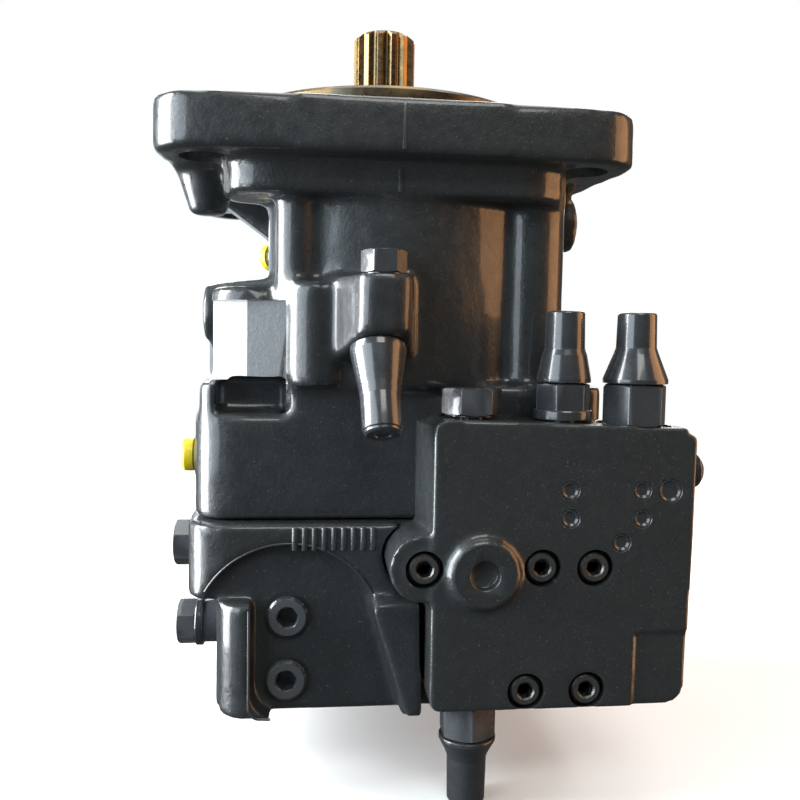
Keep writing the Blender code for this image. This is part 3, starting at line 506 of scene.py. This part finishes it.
def casting(name, node, voxel, passes, additions):
    """Sand casting of a CAD node: rounded inside and outside corners, slightly uneven skin."""
    obj = welded_copy(name, node)
    merge(obj, additions)
    modifier = obj.modifiers.new("voxels", "REMESH")
    modifier.mode = "VOXEL"
    modifier.voxel_size = voxel * MM
    apply_modifiers(obj)
    mesh = obj.data
    points = np.empty(len(mesh.vertices) * 3)
    mesh.vertices.foreach_get("co", points)
    points = points.reshape(-1, 3) / MM
    edges = np.empty(len(mesh.edges) * 2, dtype=np.int64)
    mesh.edges.foreach_get("vertices", edges)
    points = relax(points, edges.reshape(-1, 2), RELAX_SHARE, passes)
    mesh.vertices.foreach_set("co", (points * MM).ravel())
    mesh.update()
    normals = np.empty(len(points) * 3)
    mesh.vertices.foreach_get("normal", normals)
    uneven = np.array([sum(noise.noise(Vector(p) / size) * depth for size, depth in SKIN_WAVES)
                       for p in points])
    points += normals.reshape(-1, 3) * uneven[:, None]
    mesh.vertices.foreach_set("co", (points * MM).ravel())
    mesh.update()
    return obj


def cut(target, *tools):
    """Machining: each tool leaves a crisp edge in the cast skin."""
    for tool in tools:
        boolean(target, "DIFFERENCE", [tool])
    return target


def join(target, *tools):
    for tool in tools:
        boolean(target, "UNION", [tool])
    return target


def bolt_centres():
    return [(sx * BOLT_HALF, sy * BOLT_HALF) for sx, sy in ((-1, -1), (1, -1), (1, 1), (-1, 1))]


def housing():
    """Main casing with its flange; machined holes are plugged first and cut again afterwards."""
    plugs = []
    for index, (x, y) in enumerate(bolt_centres()):
        plugs.append(cylinder(f"fill_{index}", BOLT_HOLE_RADIUS + 0.2, (x, y, -FLANGE_THICKNESS + 0.1),
                              (x, y, -0.1), 32))
    plugs.append(cylinder("fill_drain", 9, (81, *DRAIN_PORT), (98.9, *DRAIN_PORT), 32))
    plugs.append(cylinder("column_fin", 2.8, (-44.5, -79.3, -80), (-44.8, -80.7, -125), 24, 0.6))
    plugs.append(cylinder("lobe_fairing", 8.0, (-82.6, -49, -41), (-83.0, -49, -21), 40, 14.0))
    gusset = [(-86, -21), (-54, -21), (-54, -42), (-58, -41), (-80, -25)]
    plugs.append(prism("rear_gusset", gusset, 36, 62, "XZ"))
    obj = casting("cast_housing", "pump_housing", 1.75, 6, plugs)
    tools = []
    for index, (x, y) in enumerate(bolt_centres()):
        tools.append(cylinder(f"hole_{index}", BOLT_HOLE_RADIUS, (x, y, -40), (x, y, 5)))
    tools.append(cylinder("pilot_seat", PILOT_RADIUS + 0.9, (0, 0, -0.05), (0, 0, 40)))
    tools.append(turned("drain_thread", ((0, 102, 0), (10.5, 102, 0), (10.5, 98.2, 0), (8.5, 96.2, 0),
                                         (8.5, 83, 0), (0, 80, 0)), (0, *DRAIN_PORT), X))
    tools += [
        block("seam_face", (-120, -120, -190), (120, 120, SEAM_Z + 0.35)),
        block("valve_face", (12.2, -95, -175), (120, JOINT_FACE_Y, -126.5)),
        cylinder("bearing_bore", 31.35, (0, 0, -90), (0, 0, -6)),
        cylinder("seal_bore", 26.35, (0, 0, -8), (0, 0, 6)),
        cylinder("case_bore", 69.05, (0, 0, -180), (0, 0, -76)),
    ]
    for name, corner, turn_deg in (("front_facet", (-45.5, -80.5, 0), 26),
                                   ("side_facet", (-63.5, -71.7, 0), 42)):
        facet = block(name, (-40, -30, -114.4), (0, 0, -80))
        facet.matrix_world = aim_side(corner, turn_deg)
        tools.append(facet)
    cut(obj, *tools)
    parting = [block(f"parting_{index}", (-0.9, y - 0.35, low_z), (0.9, y + 4, high_z))
               for index, (y, low_z, high_z) in enumerate(((-103.7, -20.5, -2.5), (-91.2, -35, -24.5)))]
    join(obj, *[bevelled(ridge, 0.33, 2) for ridge in parting])
    place(obj, PAINT, replaces=("pump_housing",))


def pilot():
    """Machined register round the shaft: it centres the pump in the gearbox."""
    top = high("pump_housing").z
    obj = turned("pilot_register", ((30, top, 0.5), (PILOT_RADIUS - 1.4, top, 0.2),
                                    (PILOT_RADIUS, top - 1.4, 0.2), (PILOT_RADIUS, 2.2, 0.2),
                                    (PILOT_RADIUS - 0.8, 1.6, 0.3), (PILOT_RADIUS - 0.8, 0.0, 0),
                                    (30, 0.0, 0)), (0, 0, 0), Z, 160, ring=True)
    place(obj, PILOT_STEEL)


def drilled(holes):
    """Fillers and drills for (name, radius, bottom, mouth) holes of a casting."""
    fills, drills = [], []
    for name, radius, bottom, mouth in holes:
        out = (Vector(mouth) - Vector(bottom)).normalized()
        fills.append(cylinder("fill_" + name, radius + 0.3, Vector(bottom) - out * 0.3,
                              Vector(mouth) - out * 0.5, 40))
        drills.append(cylinder(name, radius, bottom, Vector(mouth) + out * 4))
    return fills, drills


def tube(name, points, radius, segments=12):
    """Round bead along a line of points."""
    bm = bmesh.new()
    rings = []
    path = [Vector(point) for point in points]
    for index, point in enumerate(path):
        along = (path[min(index + 1, len(path) - 1)] - path[max(index - 1, 0)]).normalized()
        side = along.cross(Y).normalized()
        up = side.cross(along)
        ring = []
        for step in range(segments):
            angle = 2 * math.pi * step / segments
            ring.append(bm.verts.new(point + (side * math.cos(angle) + up * math.sin(angle)) * radius))
        rings.append(ring)
    for first, second in zip(rings, rings[1:]):
        for step in range(segments):
            after = (step + 1) % segments
            bm.faces.new((first[step], first[after], second[after], second[step]))
    bm.faces.new(rings[0])
    bm.faces.new(rings[-1])
    return add_object(name, bm)


def rims():
    """Raised edges left by the core round the domed recess and the plug pocket."""
    dome = [(x, PLATE_FRONT_Y + 0.35, z) for x, z in arc((-44.5, -222), 39.9, 27, 150, 48)]
    corner = filleted([(-60.6, -209, 0), (-60.6, -254.4, 12), (-51.5, -255.0, 0)], False, 14)
    pocket = [(x, NOSE_FRONT_Y + 0.45, z) for x, z in corner]
    return tube("dome_rim", dome, 0.6), tube("pocket_rim", pocket, 0.6)


def port_plate():
    """Rear cover: ribs over a domed recess, a nose with two plugs, machined joint faces."""
    bottom = low("port_plate").z
    right, back, _ = high("port_plate")
    plug_places = [middle(node) for node in ("port_plug_upper", "port_plug_lower")]
    ties = [middle(f"tie_bolt_{index}") for index in range(1, 5)]
    y, z, pressure = PRESSURE_PORT
    x, low_z, suction = SUCTION_PORT
    side = middle("side_plug_upper")
    lower_side = middle("side_plug_lower")
    holes = [("pressure_bore", pressure, (75, y, z), (right, y, z)),
             ("suction_bore", suction, (x, 62, low_z), (x, back, low_z)),
             ("bearing_seat", 26.3, (0, 0, -192), (0, 0, SEAM_Z)),
             ("side_seat", 6.3, (-77.7, side.y, side.z), (-89, side.y, side.z)),
             ("lower_side_seat", 7.3, (-65.7, lower_side.y, lower_side.z),
              (-76, lower_side.y, lower_side.z))]
    holes += [(f"plug_seat_{index}", 6.9, (p.x, -79.7, p.z), (p.x, PLUG_POCKET_Y, p.z))
              for index, p in enumerate(plug_places)]
    holes += [(f"tie_seat_{index}", TIE_HEAD_RADIUS + 1, (p.x, p.y, -243), (p.x, p.y, bottom))
              for index, p in enumerate(ties)]
    for index, (u, v) in enumerate(((-1, -1), (1, -1), (1, 1), (-1, 1))):
        holes.append((f"pressure_thread_{index}", 5.1, (right - 18, y + u * 13.9, z + v * 28.6),
                      (right, y + u * 13.9, z + v * 28.6)))
        holes.append((f"suction_thread_{index}", 5.1, (x + u * 38.9, back - 15, low_z + v * 21.45),
                      (x + u * 38.9, back, low_z + v * 21.45)))
    fills, drills = drilled(holes)
    obj = casting("cast_port_plate", "port_plate", 1.4, 5, fills)
    cut(obj, block("seam_face", (-120, -120, SEAM_Z - 0.05), (120, 120, -150)),
        block("foot_face", (-120, -120, -270), (120, 120, bottom + 0.12)),
        block("valve_face", (12.2, -95, -244), (right + 2, JOINT_FACE_Y, -170)),
        block("pressure_face", (right - 0.15, -40, -255), (right + 5, 40, -160)),
        block("suction_face", (-90, back - 0.15, -262), (40, back + 5, -160)),
        *drills)
    for index, p in enumerate(plug_places):
        cut(obj, cylinder(f"plug_face_{index}", 10.2, (p.x, PLUG_POCKET_Y + 0.25, p.z),
                          (p.x, PLUG_POCKET_Y - 6, p.z)))
    cut(obj, cylinder("side_face", 12, (-88.75, side.y, side.z), (-95, side.y, side.z)),
        cylinder("lower_side_face", 12.5, (-75.7, lower_side.y, lower_side.z),
                 (-90, lower_side.y, lower_side.z)))
    join(obj, *rims())
    ribs = []
    for index in range(9):
        rib_x = -42 + index * 4.1
        foot = (rib_x, PLATE_FRONT_Y + 0.6, -185)
        ribs.append(cylinder(f"rib_{index}", 1.45, foot, (rib_x, foot[1], -175.2), 20))
    join(obj, *[bevelled(rib, 0.5, 2) for rib in ribs])
    place(obj, PAINT, replaces=("port_plate",))


def valve_block():
    """Control valve body: cast skin, machined top, counterbores, boss and expander plug holes."""
    _, front, bottom = low("control_valve_block")
    right = high("control_valve_block").x
    mid = middle("spool_end_plug").y
    screws = [middle(f"block_screw_{index}") for index in range(1, 6)]
    spool_z = middle("spool_end_plug").z
    boss = Vector((33.8, VALVE_FACE_Y, -189))
    holes = [("spool_bore", 6.3, (28, mid, spool_z), (right, mid, spool_z)),
             ("end_seat", 7.3, (108.7, mid, spool_z), (right, mid, spool_z)),
             ("top_seat", 6.3, (TOP_PLUG_X, mid, -138), (TOP_PLUG_X, mid, -127.6)),
             ("pressure_seat", 6.3, (PRESSURE_ADJUSTER_X, mid, -138),
              (PRESSURE_ADJUSTER_X, mid, -128.6)),
             ("flow_seat", 6.3, (FLOW_ADJUSTER_X, mid, -141.3), (FLOW_ADJUSTER_X, mid, -131)),
             ("power_seat", 6.3, (POWER_ADJUSTER_X, mid, -235.7), (POWER_ADJUSTER_X, mid, bottom))]
    for index, p in enumerate(screws):
        holes.append((f"screw_hole_{index}", 4.5, (p.x, -106, p.z), (p.x, -82.3, p.z)))
        holes.append((f"counterbore_{index}", SOCKET_HEAD_RADIUS + 1.2, (p.x, -105.7, p.z),
                      (p.x, VALVE_FACE_Y, p.z)))
    fills, drills = drilled(holes)
    fills.append(cylinder("fill_dimple", 6.3, (boss.x, -113.5, boss.z), (boss.x, -118.2, boss.z), 40))
    obj = casting("cast_valve_block", "control_valve_block", 0.95, 5, fills)
    cut(obj, block("joint_face", (-20, -82.35, -260), (140, -70, -110)),
        cylinder("flow_face", 15.5, (FLOW_ADJUSTER_X, mid, -131), (FLOW_ADJUSTER_X, mid, -118)),
        cylinder("pressure_face", 14.2, (PRESSURE_ADJUSTER_X, mid, -128.3),
                 (PRESSURE_ADJUSTER_X, mid, -118)),
        cylinder("top_face", 13.4, (TOP_PLUG_X, mid, -127.4), (TOP_PLUG_X, mid, -118)),
        cylinder("end_face", 9.5, (right - 0.3, mid, spool_z), (right + 9, mid, spool_z)),
        cylinder("boss_face", 12.4, (boss.x, front + 0.25, boss.z),
                 (boss.x, -130, boss.z)),
        *drills)
    cut(obj, turned("dimple", ((0, 9, 0), (7.2, 9, 0), (7.2, 4.6, 0), (6, 3.7, 0.3), (5.6, 1.2, 0.8),
                               (0, -0.6, 0)), (boss.x, -114.2, boss.z), -Y))
    for index, (x, z, radius) in enumerate(EXPANDERS):
        cut(obj, turned(f"expander_hole_{index}", ((0, 6, 0), (radius + 0.5, 6, 0),
                                                   (radius + 0.5, 0.1, 0), (radius, -0.4, 0),
                                                   (radius, -3, 0), (0, -3, 0)),
                        (x, VALVE_FACE_Y, z), -Y, 48))
        plug = turned(f"expander_plug_{index}", ((0, -0.9, 0), (radius - 1.4, -0.9, 0.4),
                                                 (radius - 0.5, -0.15, 0.25), (radius - 0.1, -0.15, 0.1),
                                                 (radius - 0.1, -2.4, 0), (0, -2.4, 0)),
                      (x, VALVE_FACE_Y, z), -Y, 48)
        place(plug, FITTING_PAINT)
    place(obj, PAINT, replaces=("control_valve_block",))


# ---------------------------------------------------------------- fittings

def hexagon_fitting(name, node, flats, foot, direction, height, stem, extras=()):
    """Hexagon head with a washer face, its threaded stem and anything else on its axis."""
    out = Vector(direction).normalized()
    foot = Vector(foot) + out * 0.3
    head = hexagon_head(name, flats, foot + out * 0.5, height - 0.5, out, True)
    washer = turned("washer", ((0, 1.2, 0), (flats / 2 * 0.95, 1.2, 0), (flats / 2 * 0.95, 0.15, 0.1),
                               (flats / 2 * 0.92, 0, 0), (0, 0, 0)), foot, out)
    radius, length = stem
    shank = turned("shank", ((0, 1, 0), (radius - 0.05, 1, 0), (radius - 0.05, -length + 1, 0),
                             (radius - 1, -length, 0), (0, -length, 0)), foot + out * 0.3, out)
    boolean(head, "UNION", [washer, shank, *extras])
    return place(head, FITTING_PAINT, replaces=(node,))


def tamper_cap(name, flats, foot, direction, cone, length):
    """Tamper-proof cap pressed over an adjusting screw: collar, cone, cylinder with a round end."""
    root = flats / math.sqrt(3) * 0.97
    cap = turned(name, ((0, length - 0.25, 0), (4.6, length - 0.25, 0.6), (5.6, length, 0.8),
                        (8.0, length, 1.1), (8.35, cone + 1.5, 3.0), (9.3, cone - 1.2, 3.0),
                        (root, 1.7, 0.7), (root, 0, 0.35), (5.6, 0, 0.2), (5.6, 14.8, 0.5),
                        (0, 15.8, 0)), foot, direction)
    return place(cap, FITTING_PAINT, replaces=(name,))


def adjusters():
    mid = middle("spool_end_plug").y
    bottom = low("control_valve_block").z
    for label, x, foot_z, out, flats, body, collar, cone, length in (
            ("pressure_adjuster", PRESSURE_ADJUSTER_X, -127.9, Z, 20, 15, 12.2, 12.5, 29.5),
            ("flow_adjuster", FLOW_ADJUSTER_X, -131, Z, 24, 18, 0, 13.5, 29.5),
            ("power_adjuster", POWER_ADJUSTER_X, bottom, -Z, 21.5, 15.5, 0, 8, 28.5)):
        foot = Vector((x, mid, foot_z)) + out * 0.3
        stud = turned("stud", ((0, body + 12, 0), (3.4, body + 12, 0), (4, body + 11.3, 0.1),
                               (4, 1, 0), (0, 1, 0)), foot, out)
        extras = [stud]
        if collar:
            extras.append(turned("collar", ((0, 4, 0), (collar - 0.3, 4, 0.3), (collar, 3.4, 0.2),
                                            (collar, 0.3, 0.2), (collar - 0.3, 0, 0), (0, 0, 0)),
                                 foot, out))
        hexagon_fitting("hexagon_" + label, label + "_body", flats, (x, mid, foot_z), out, body,
                        (6, 9.7), extras)
        tamper_cap(label + "_cap", flats, foot + out * (body + 0.3), out, cone, length)


def plugs():
    mid = middle("spool_end_plug").y
    hexagon_fitting("hexagon_top_plug", "valve_top_plug", 22, (TOP_PLUG_X, mid, -127.1), Z, 12,
                    (6, 9.7))
    relief = middle("relief_valve_plug")
    hexagon_fitting("hexagon_relief_plug", "relief_valve_plug", 16.5, (relief.x, relief.y, -70), Z, 10,
                    (5, 9.7))
    upper = middle("side_plug_upper")
    hexagon_fitting("hexagon_side_plug", "side_plug_upper", 19, (-89, upper.y, upper.z), -X, 9.2,
                    (6, 11))
    lower = middle("side_plug_lower")
    axis = Vector((-76.3, lower.y, lower.z))
    sleeve = turned("sleeve", ((0, 10.4, 0), (9.8, 10.4, 0.5), (9.8, 0.3, 0.4), (9.4, 0, 0),
                               (7, 0, 0), (7, -8.7, 0), (6.2, -9.7, 0), (0, -9.7, 0)), axis, -X)
    ring = turned("ring", ((0, 12.2, 0), (10.8, 12.2, 0.4), (11.2, 11.6, 0.3), (11.2, 9.2, 0.3),
                           (10.8, 8.7, 0.2), (0, 8.7, 0)), axis, -X)
    nut = hexagon_head("sleeve_plug", 19, (-88.2, lower.y, lower.z), 8.8, -X, True)
    place(boolean(nut, "UNION", [sleeve, ring]), FITTING_PAINT, replaces=("side_plug_lower",))
    end = middle("spool_end_plug")
    foot = Vector((low("spool_end_plug").x + 12, end.y, end.z))
    place(turned("domed_end_plug", ((0, 9, 0), (4.5, 8.6, 1.5), (7.2, 6.5, 1.2), (7.5, 0.3, 0.3),
                                    (7, 0, 0), (7, -12, 0), (0, -12, 0)), foot, X),
          FITTING_PAINT, replaces=("spool_end_plug",))


def relief_cap():
    foot = Vector((-9.0, -99.0, -99.0))
    place(turned("long_relief_cap", ((0, 37.2, 0), (3.4, 37.2, 0.3), (3.8, 38, 0.3), (6.6, 38, 0.6),
                                     (7.6, 37.1, 0.4), (7.6, 36.1, 0.25), (8.15, 35.7, 0.4),
                                     (8.45, 22, 4), (9.0, 17.5, 4), (11.5, 3.2, 0.8), (11.6, 0.3, 0.3),
                                     (7, 0.3, 0), (7, -9.7, 0), (0, -9.7, 0)), foot, RELIEF_AXIS),
          FITTING_PAINT, replaces=("relief_valve_cap",))


def socket_screw(name, node, radius, head, shank, length, top, out, flats):
    """Cylinder head screw with a broached hexagon; its head's edge is rolled round."""
    top = Vector(top)
    screw = turned(name, ((0, 0, 0), (radius - 0.9, 0, 0.1), (radius, -0.9, 0.6), (radius, -head, 0.3),
                          (shank - 0.1, -head, 0.4), (shank - 0.1, -length + 1, 0),
                          (shank - 1, -length, 0), (0, -length, 0)), top, out)
    corner = flats / math.sqrt(3)
    lead = turned("lead", ((0, 1, 0), (corner + 1.3, 1, 0), (corner - 0.3, -0.7, 0), (0, -0.7, 0)),
                  top, out)
    key = hexagon("key", flats, top - out * head * 0.6, head + 1, out, 15.0)
    drill = cylinder("drill", flats / 2 * 0.98, top - out * head * 0.6,
                     top - out * (head * 0.6 + flats * 0.2), 48, 0.4)
    boolean(screw, "DIFFERENCE", [key, lead, drill])
    return place(screw, BLACK_STEEL, replaces=(node,))


def screws():
    for index in range(1, 6):
        node = f"block_screw_{index}"
        p = middle(node)
        socket_screw("socket_" + node, node, SOCKET_HEAD_RADIUS, 8, 4, 40,
                     (p.x, low(node).y, p.z), -Y, 6)
    for index in range(1, 5):
        node = f"tie_bolt_{index}"
        p = middle(node)
        socket_screw("socket_" + node, node, TIE_HEAD_RADIUS, 12, 6, 100, (p.x, p.y, low(node).z),
                     -Z, 10)


def port_plugs():
    """Two O-ring plugs with a hexagon socket in the nose of the port plate."""
    for node in ("port_plug_upper", "port_plug_lower"):
        p = middle(node)
        seat = Vector((p.x, PLUG_POCKET_Y, p.z))
        plug = turned("socket_" + node, ((0, 3, 0), (7.8, 3, 0.3), (8.9, 1.9, 0.3), (8.9, 0.3, 0.2),
                                         (6.5, 0.3, 0), (6.5, -5.2, 0), (5.7, -6, 0), (0, -6, 0)),
                      seat, -Y)
        key = hexagon("key", 8, seat + Y * 4.5, 9, -Y, 10.0)
        lead = turned("lead", ((0, 4, 0), (5.6, 4, 0), (4.2, 2.3, 0), (0, 2.3, 0)), seat, -Y)
        place(boolean(plug, "DIFFERENCE", [key, lead]), FITTING_PAINT, replaces=(node,))


def transport_plugs():
    """Yellow push-in plugs that keep dirt out until the pipes are fitted."""
    corners = ((0, 3.4, 0), (4.2, 3.4, 0.5), (5.0, 5.4, 0.5), (6.6, 5.4, 0.4), (7.6, 4.4, 0.5),
               (7.6, 0.5, 0.3), (6.0, 0.4, 0.2), (6.0, -6.2, 0.3), (5.2, -7.4, 0), (0, -7.4, 0))
    p = middle("transport_plug")
    place(turned("yellow_side_plug", corners, (-88.5, p.y, p.z), -X), YELLOW,
          replaces=("transport_plug",))
    place(turned("yellow_rear_plug", corners, (-57.2, 60.2, -48), (-1, 1, 0)), YELLOW)


# ---------------------------------------------------------------- shaft

def spline_outline():
    """Fourteen teeth with rounded roots and broken tips."""
    flank = math.tan(math.radians(30))
    half_tooth = math.pi * SPLINE_PITCH_RADIUS / SPLINE_TEETH / 2
    corners = []
    for tooth in range(SPLINE_TEETH):
        for radius, side, fillet in ((SPLINE_ROOT_RADIUS, -1, 0.35), (SPLINE_TIP_RADIUS, -1, 0.22),
                                     (SPLINE_TIP_RADIUS, 1, 0.22), (SPLINE_ROOT_RADIUS, 1, 0.35)):
            half = half_tooth + (SPLINE_PITCH_RADIUS - radius) * flank
            angle = 2 * math.pi * tooth / SPLINE_TEETH + side * half / radius
            corners.append((radius * math.cos(angle), radius * math.sin(angle), fillet))
    return filleted(corners, True, 5)


def drive_shaft():
    end = high("drive_shaft").z
    shaft = prism("splined_shaft", spline_outline(), 12.4, end)
    envelope = turned("envelope", ((0, end, 0), (13.2, end, 0.2), (15.7, end - 2.2, 0.4),
                                   (15.7, 17.5, 3), (13.0, 12.0, 0), (0, 12.0, 0)), (0, 0, 0), Z)
    boolean(shaft, "INTERSECT", [envelope])
    body = turned("body", ((0, 13.4, 0), (13.2, 13.4, 0), (15.2, 12.4, 0.4), (15.2, 6.2, 0.5),
                           (16.6, 6.2, 0.2), (17, 5.8, 0.1), (17, -5.4, 0.1), (17.5, -5.7, 0.1),
                           (17.5, -26, 0.4), (20.6, -26, 0.2), (21, -26.4, 0.1), (21, -33.6, 0.1),
                           (20.6, -34, 0.2), (15, -34, 0.6), (15, -189.5, 0.2), (14, -190.5, 0.1),
                           (0, -190.5, 0)), (0, 0, 0), Z)
    centre = turned("centre", ((0, end + 1, 0), (5.2, end + 1, 0), (5.2, end, 0), (4.2, end - 1, 0),
                               (1.6, end - 5.5, 0), (1.6, end - 9, 0), (0, end - 10, 0)),
                    (0, 0, 0), Z)
    boolean(shaft, "UNION", [body])
    boolean(shaft, "DIFFERENCE", [centre])
    place(shaft, SHAFT_STEEL, "shaft", ("drive_shaft",))


def seal_and_ring():
    """Lip seal with its garter spring, and the retaining ring over it."""
    place(turned("lip_seal", ((25.6, 4.4, 0.4), (25.2, 4.9, 0.2), (18.6, 4.9, 0.5), (17.35, 3.6, 0.3),
                              (19.2, 2.4, 0.4), (20.6, 1.6, 0.5), (20.6, -0.4, 0.5), (19.4, -1.2, 0.4),
                              (17.3, -2.6, 0.2), (18.4, -4.4, 0.4), (20, -4.8, 0.3), (25.4, -4.8, 0.3)),
                 (0, 0, 0), Z, ROUND, ring=True), RUBBER, replaces=("shaft_seal",))
    outline = arc((0, 0), 29.7, -78, 258, 90)
    inner = arc((0, 0), 27.2, 258, -78, 90)
    ring = prism("retaining_ring", outline + inner, 6.6, 8.2)
    for angle in (-75, 255):
        turn = math.radians(angle)
        lug = Vector((25.6 * math.cos(turn), 25.6 * math.sin(turn), 0))
        ear = cylinder("ear", 3.1, lug + Z * 6.6, lug + Z * 8.2, 32)
        boolean(ring, "UNION", [ear])
        boolean(ring, "DIFFERENCE", [cylinder("eye", 1.2, lug + Z * 5, lug + Z * 10, 24)])
    place(bevelled(ring, 0.2, 2), BLACK_STEEL)


# ---------------------------------------------------------------- parts inside

INSIDE = {
    BEARING_STEEL: ("front_bearing_cup", "front_bearing_cone", "rear_bearing"),
    BRONZE: ("cylinder_barrel", "valve_plate", "retaining_plate", "cradle_bearing_left",
             "cradle_bearing_right") + tuple(f"slipper_{index}" for index in range(1, 10)),
    GROUND_STEEL: ("swashplate", "retaining_ball", "stroking_piston", "counter_piston",
                   "control_spool") + tuple(f"piston_{index}" for index in range(1, 10)),
}


def inside():
    """The rotating group stays as the frame gives it, in worked metal."""
    for material, nodes in INSIDE.items():
        for node in nodes:
            mesh = frame["nodes"][node].data
            mesh.materials.clear()
            mesh.materials.append(material)


housing()
pilot()
port_plate()
valve_block()
adjusters()
plugs()
relief_cap()
screws()
port_plugs()
transport_plugs()
drive_shaft()
seal_and_ring()
inside()


# ---------------------------------------------------------------- stage, light, camera

def add_area(name, place_m, target_m, size, colour, power):
    light = bpy.data.lights.new(name, "AREA")
    light.shape = "RECTANGLE"
    light.size, light.size_y = size
    light.color = colour
    light.energy = power
    obj = bpy.data.objects.new(name, light)
    bpy.context.scene.collection.objects.link(obj)
    direction = Vector(target_m) - Vector(place_m)
    turn = direction.to_track_quat("-Z", "Y").to_matrix().to_4x4()
    obj.matrix_world = Matrix.Translation(place_m) @ turn
    obj.visible_camera = False
    return obj


def stage():
    floor_z = CAD_BOX[0][2] - 0.0004
    mesh = bpy.data.meshes.new("floor")
    bm = bmesh.new()
    bmesh.ops.create_grid(bm, x_segments=8, y_segments=8, size=0.85)
    bm.to_mesh(mesh)
    bm.free()
    floor = bpy.data.objects.new("floor", mesh)
    floor.location.z = floor_z
    bpy.context.scene.collection.objects.link(floor)
    s = Surface("pale_floor", 0.0, specular=0.1)
    s.shader.inputs["Emission Color"].default_value = (1.0, 1.0, 1.0, 1.0)
    s.shader.inputs["Emission Strength"].default_value = 0.12
    mesh.materials.append(s.finish(s.mix(s.noise(900, 2), (0.86, 0.86, 0.86), (0.9, 0.9, 0.9)),
                                   s.spread(s.noise(400, 2), 0.3, 0.7, 0.7, 0.8)))
    floor.visible_diffuse = False
    floor.visible_glossy = False


def world():
    scene_world = bpy.data.worlds.new("studio")
    scene_world.use_nodes = True
    background = scene_world.node_tree.nodes["Background"]
    background.inputs["Color"].default_value = (1.0, 1.0, 1.0, 1.0)
    background.inputs["Strength"].default_value = 1.0
    bpy.context.scene.world = scene_world
    path = scene_world.node_tree.nodes.new("ShaderNodeLightPath")
    dim = scene_world.node_tree.nodes.new("ShaderNodeBackground")
    dim.inputs["Color"].default_value = (0.62, 0.66, 0.66, 1.0)
    dim.inputs["Strength"].default_value = 0.12
    mix = scene_world.node_tree.nodes.new("ShaderNodeMixShader")
    links = scene_world.node_tree.links
    links.new(path.outputs["Is Camera Ray"], mix.inputs["Fac"])
    links.new(dim.outputs["Background"], mix.inputs[1])
    links.new(background.outputs["Background"], mix.inputs[2])
    links.new(mix.outputs["Shader"], scene_world.node_tree.nodes["World Output"].inputs["Surface"])


def lights():
    add_area("left_window", (-1.3, 0.0, 0.1), (0, 0, -0.1), (0.85, 1.7), (0.95, 0.98, 1.0), 80)
    add_area("front_left", (-1.5, -1.1, 0.3), (0, 0, -0.12), (1.3, 1.5), (0.78, 0.9, 1.0), 27)
    add_area("front_high", (0.2, -1.5, 1.5), (0, 0, -0.12), (1.0, 0.8), (1.0, 1.0, 0.96), 14)
    add_area("right_warm", (1.2, -0.26, 0.0), (0, 0, -0.12), (0.9, 1.4), (1.0, 0.5, 0.22), 13)
    add_area("back_left", (-0.7, 1.7, 0.0), (0, 0, -0.15), (1.4, 0.56), (0.8, 0.9, 1.0), 2.2)
    add_area("back_soft", (0.2, 1.6, 0.7), (0, 0, -0.1), (1.6, 1.2), (1.0, 0.98, 0.95), 22)
    add_area("top_soft", (0, 0.3, 1.7), (0, 0, 0), (1.5, 1.2), (1.0, 1.0, 1.0), 16)


def camera():
    """Camera a little left of the pump's middle, level with its upper half, a touch tilted."""
    yaw, pitch, roll = (math.radians(a) for a in (6.29, 3.74, 0.99))
    cy, sy, cp, sp = math.cos(yaw), math.sin(yaw), math.cos(pitch), math.sin(pitch)
    cr, sr = math.cos(roll), math.sin(roll)
    about_z = Matrix(((cy, -sy, 0), (sy, cy, 0), (0, 0, 1)))
    about_x = Matrix(((1, 0, 0), (0, cp, -sp), (0, sp, cp)))
    about_y = Matrix(((cr, 0, sr), (0, 1, 0), (-sr, 0, cr)))
    view = about_y @ about_x @ about_z
    back = view.transposed()
    eye = -(back @ Vector((-9.0, 435.4, 127.2)))
    matrix = Matrix((back @ X, back @ Z, -(back @ Y))).transposed().to_4x4()
    matrix.translation = eye * MM
    data = bpy.data.cameras.new("camera")
    data.sensor_width = 36.0
    data.lens = 37.9
    data.shift_y = 0.0012
    data.clip_start = 0.01
    obj = bpy.data.objects.new("camera", data)
    obj.matrix_world = matrix
    bpy.context.scene.collection.objects.link(obj)
    bpy.context.scene.camera = obj


stage()
world()
lights()
camera()
bpy.context.scene.view_settings.view_transform = "Standard"
